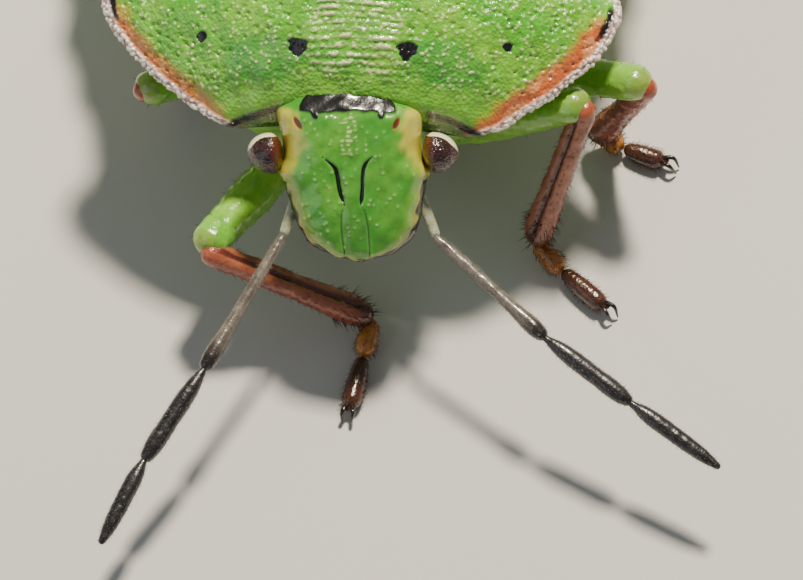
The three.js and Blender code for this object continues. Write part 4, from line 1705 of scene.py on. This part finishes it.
@dataclass(frozen=True)
class Lamp:
    """A square lamp that faces the bug."""

    name: str
    way: Point
    size: float
    watts: float
    colour: str
    distance: float = 0.12

    def hang(self) -> None:
        """Hangs the lamp; its size and distance are in metres, and way points from the bug."""
        data = bpy.data.lights.new(self.name, "AREA")
        data.size = self.size
        data.energy = self.watts
        data.color = linear(self.colour)[:3]
        lamp = bpy.data.objects.new(self.name, data)
        direction = Vector(self.way).normalized()
        lamp.location = direction * self.distance
        lamp.rotation_euler = direction.to_track_quat("Z", "Y").to_euler()
        bpy.context.collection.objects.link(lamp)


@dataclass(frozen=True)
class Studio:
    """A pale floor, a lamp high behind the bug, a faint one before it, and the photo's camera."""

    azimuth: float = 5.0
    elevation: float = 60.0
    roll: float = -2.0
    pixels_per_mm: float = 82.0
    width_px: int = 803
    height_px: int = 580
    anchor: Point = (0, -0.2, 2.45)
    anchor_px: tuple[float, float] = (354, 131)
    distance: float = 120.0
    sensor: float = 36.0
    lamps: tuple[Lamp, ...] = (
        Lamp("key", (0.12, 0.44, 0.88), size=0.015, watts=0.295, colour="#fff3e0"),
        Lamp("fill", (-0.7, -0.5, 0.5), size=0.09, watts=0.02, colour="#eaf2ff"))
    floor_reach: float = 0.25
    floor_colour: str = "#cfcdc7"
    floor_roughness: float = 0.9
    room_colour: str = "#e4e9ee"
    room_strength: float = 0.24

    def build(self, place: Place) -> None:
        """Lays the floor, lights the room, hangs the lamps and sets the camera.

        Args:
            place: where the bug's own frame lies.
        """
        self.lay_floor()
        world = bpy.data.worlds.new("room")
        world.use_nodes = True
        air = world.node_tree.nodes["Background"]
        air.inputs["Color"].default_value = linear(self.room_colour)
        air.inputs["Strength"].default_value = self.room_strength
        bpy.context.scene.world = world
        for lamp in self.lamps:
            lamp.hang()
        self.set_camera(place)

    def lay_floor(self) -> None:
        mesh = bpy.data.meshes.new("floor")
        reach = self.floor_reach
        mesh.from_pydata([(-reach, -reach, 0), (reach, -reach, 0), (reach, reach, 0),
                          (-reach, reach, 0)], [], [(0, 1, 2, 3)])
        floor = bpy.data.objects.new("floor", mesh)
        bpy.context.collection.objects.link(floor)
        # Uncoated pressed paper scatters light evenly, so it shows soft shadows and no gloss.
        paper = bpy.data.materials.new("pale matt paper")
        paper.use_nodes = True
        shader = paper.node_tree.nodes["Principled BSDF"]
        shader.inputs["Base Color"].default_value = linear(self.floor_colour)
        shader.inputs["Roughness"].default_value = self.floor_roughness
        mesh.materials.append(paper)

    def set_camera(self, place: Place) -> None:
        """Sets the camera.

        Formula: its axes follow from azimuth, elevation and roll; its aim is the anchor moved
        by the way from the anchor's pixel to the middle of the frame; its lens gives the pixels
        per millimetre at its distance.

        Args:
            place: where the bug's own frame lies.
        """
        a, e, r = (math.radians(v) for v in (self.azimuth, self.elevation, self.roll))
        across = Vector((math.cos(a), math.sin(a), 0))
        upward = Vector((-math.sin(a) * math.sin(e), math.cos(a) * math.sin(e), math.cos(e)))
        right = across * math.cos(r) + upward * math.sin(r)
        up = upward * math.cos(r) - across * math.sin(r)
        back = right.cross(up)
        shift_x = (self.width_px / 2 - self.anchor_px[0]) / self.pixels_per_mm
        shift_y = (self.height_px / 2 - self.anchor_px[1]) / self.pixels_per_mm
        aim = Vector(self.anchor) + right * shift_x - up * shift_y
        data = bpy.data.cameras.new("camera")
        data.sensor_width = self.sensor
        data.lens = self.sensor * self.distance * self.pixels_per_mm / self.width_px
        data.clip_start = 0.001
        camera = bpy.data.objects.new("camera", data)
        camera.matrix_world = Matrix((right, up, back)).transposed().to_4x4()
        camera.location = place.origin + (aim + back * self.distance) * MM
        bpy.context.collection.objects.link(camera)
        bpy.context.scene.camera = camera


# Places shared with the frame's solids

LEG_JOINTS: dict[str, tuple[Point, ...]] = {
    "fore_right": ((-0.62, 0.7, 1.2), (-0.7, 0.6, 0.9), (-1.816, -1.414, 1.5),
                   (0.26, -1.581, 0.27), (0.036, -2.832, 0.14)),
    "fore_left": ((0.65, 0.75, 1.2), (0.82, 0.75, 0.9), (2.826, 0.37, 2.4),
                  (2.209, -0.404, 0.27), (3.145, -1.235, 0.14)),
    "mid_right": ((-0.95, 2.05, 1.15), (-1.15, 1.95, 0.82), (-2.66, 0.4, 2.2),
                  (-2.1, 1.75, 0.27), (-2.8, 2.7, 0.14)),
    "mid_left": ((1.0, 1.95, 1.15), (1.2, 1.87, 0.85), (3.563, 0.715, 2.3),
                 (2.9, 1.2, 0.27), (3.96, 0.84, 0.14)),
    "hind_right": ((-0.95, 3.2, 1.1), (-1.12, 3.3, 0.78), (-3.5, 5.15, 1.45),
                   (-4.3, 7.85, 0.27), (-4.68, 9.05, 0.14)),
    "hind_left": ((0.95, 3.2, 1.1), (1.12, 3.3, 0.78), (3.6, 5.0, 1.45),
                  (4.35, 7.75, 0.27), (4.68, 8.95, 0.14)),
}
FEELER_JOINTS: dict[Side, tuple[Point, ...]] = {
    Side.RIGHT: ((-0.6, -0.72, 2.15), (-0.811, -1.372, 1.85), (-1.684, -3.099, 1.5),
                 (-2.345, -4.232, 1.2), (-2.804, -5.258, 0.95)),
    Side.LEFT: ((0.72, -0.62, 2.15), (1.067, -1.311, 1.85), (2.455, -2.489, 1.55),
                (3.529, -3.204, 1.3), (4.634, -3.909, 1.05)),
}
# How far a foot's tip stands back from its joint, where that isn't the usual.
TOE_BACK: dict[str, float] = {"mid_left": 0.22}
# Edges of the back plates in plan: place along Y and distance from the middle line.
PAD_INNER: Stations = ((1.52, 1.25), (2.1, 1.12), (2.6, 0.95), (3.2, 1.12), (3.9, 1.52),
                       (4.5, 1.95), (4.95, 2.42))
PAD_OUTER: Stations = ((1.52, 2.86), (2.4, 2.98), (3.4, 3.06), (4.2, 3.02), (4.7, 2.84),
                       (4.95, 2.42))
SCUTELLUM_LEFT: Stations = ((1.52, 1.25), (2.1, 1.12), (2.6, 0.9), (3.1, 0.56), (3.45, 0.26),
                            (3.65, 0.0))


def build_plates(place: Place) -> None:
    """Builds the shield, the scutellum and both wing pads.

    Args:
        place: maker of finished pieces.
    """
    Pronotum().build(place)
    scutellum_right = tuple((at, -half) for at, half in SCUTELLUM_LEFT)
    BackPlate("scutellum_plate", "scutellum", 3.65, scutellum_right, SCUTELLUM_LEFT,
              spots=((0.85, 1.95, 0.09), (0.0, 3.3, 0.07))).build(place)
    for side in Side:
        BackPlate(f"wing_pad_{side.word}_plate", f"wing_pad_{side.word}", 4.95, PAD_INNER,
                  PAD_OUTER, mirrored=side.value,
                  spots=((1.75, 2.5, 0.1), (2.3, 4.2, 0.08))).build(place)


def build_feelers(place: Place) -> None:
    """Builds both antennae with their shared finishes.

    Args:
        place: maker of finished pieces.
    """
    # The first segment is untanned: pale, and hardly glossy.
    scape = Cuticle("cuticle of the feeler bases, pale green", "#9aa07c", "#4d5238", "#c4c9a8",
                    cloud_mm=0.1, roughness=0.35, coat=0.3)
    # The second is half tanned, and darkens towards the next joint.
    second = Cuticle("cuticle of the feelers, grey-taupe", "#5c554c", "#35302c", "#877d70",
                     (Layer("along", "#1f1b1a", 0.7, 0.96),), cloud_mm=0.12, speck_mm=0.04,
                     speck_depth_mm=0.002, roughness=0.28, coat=0.5)
    # The last two are fully tanned, with a pale ring at each root.
    outer = Cuticle("cuticle of the feelers, near black", "#161314", "#0a0809", "#2c282c",
                    (Layer("along", "#4a4238", 0.06, 0.0, 0.9),), cloud_mm=0.12, speck_mm=0.035,
                    speck_depth_mm=0.002, roughness=0.34, coat=0.3)
    # The down is thinner than the render can show, so it is drawn a little thicker.
    down = Cuticle("down of the feelers, pale silky hair", "#837c72", "#5f5951", "#a59d90",
                   grain_depth_mm=0.0003, roughness=0.45, coat=0.0, depth=0.0).material()
    outer_material = outer.material()
    finishes = (scape.material(), second.material(), outer_material, outer_material)
    for number, (side, joints) in enumerate(FEELER_JOINTS.items()):
        Feeler(side, joints, seed=300 + 10 * number).build(place, finishes, down)


def main() -> None:
    """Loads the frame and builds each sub-assembly in turn."""
    logging.basicConfig(level=logging.INFO, format="%(name)s: %(message)s")
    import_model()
    place = Place.from_frame(FORM.tail_end)
    Studio().build(place)
    Trunk().build(place)
    build_plates(place)
    head = Head()
    head.build(place)
    for side in Side:
        Eye(side).build(place, head)
    Rostrum().build(place)
    leg_finishes = LegFinishes.made()
    for number, (name, joints) in enumerate(LEG_JOINTS.items()):
        toe_back = TOE_BACK.get(name, Leg.toe_back)
        Leg(name, joints, seed=100 + 10 * number, toe_back=toe_back).build(place, leg_finishes)
    build_feelers(place)


if __name__ == "__main__":
    main()
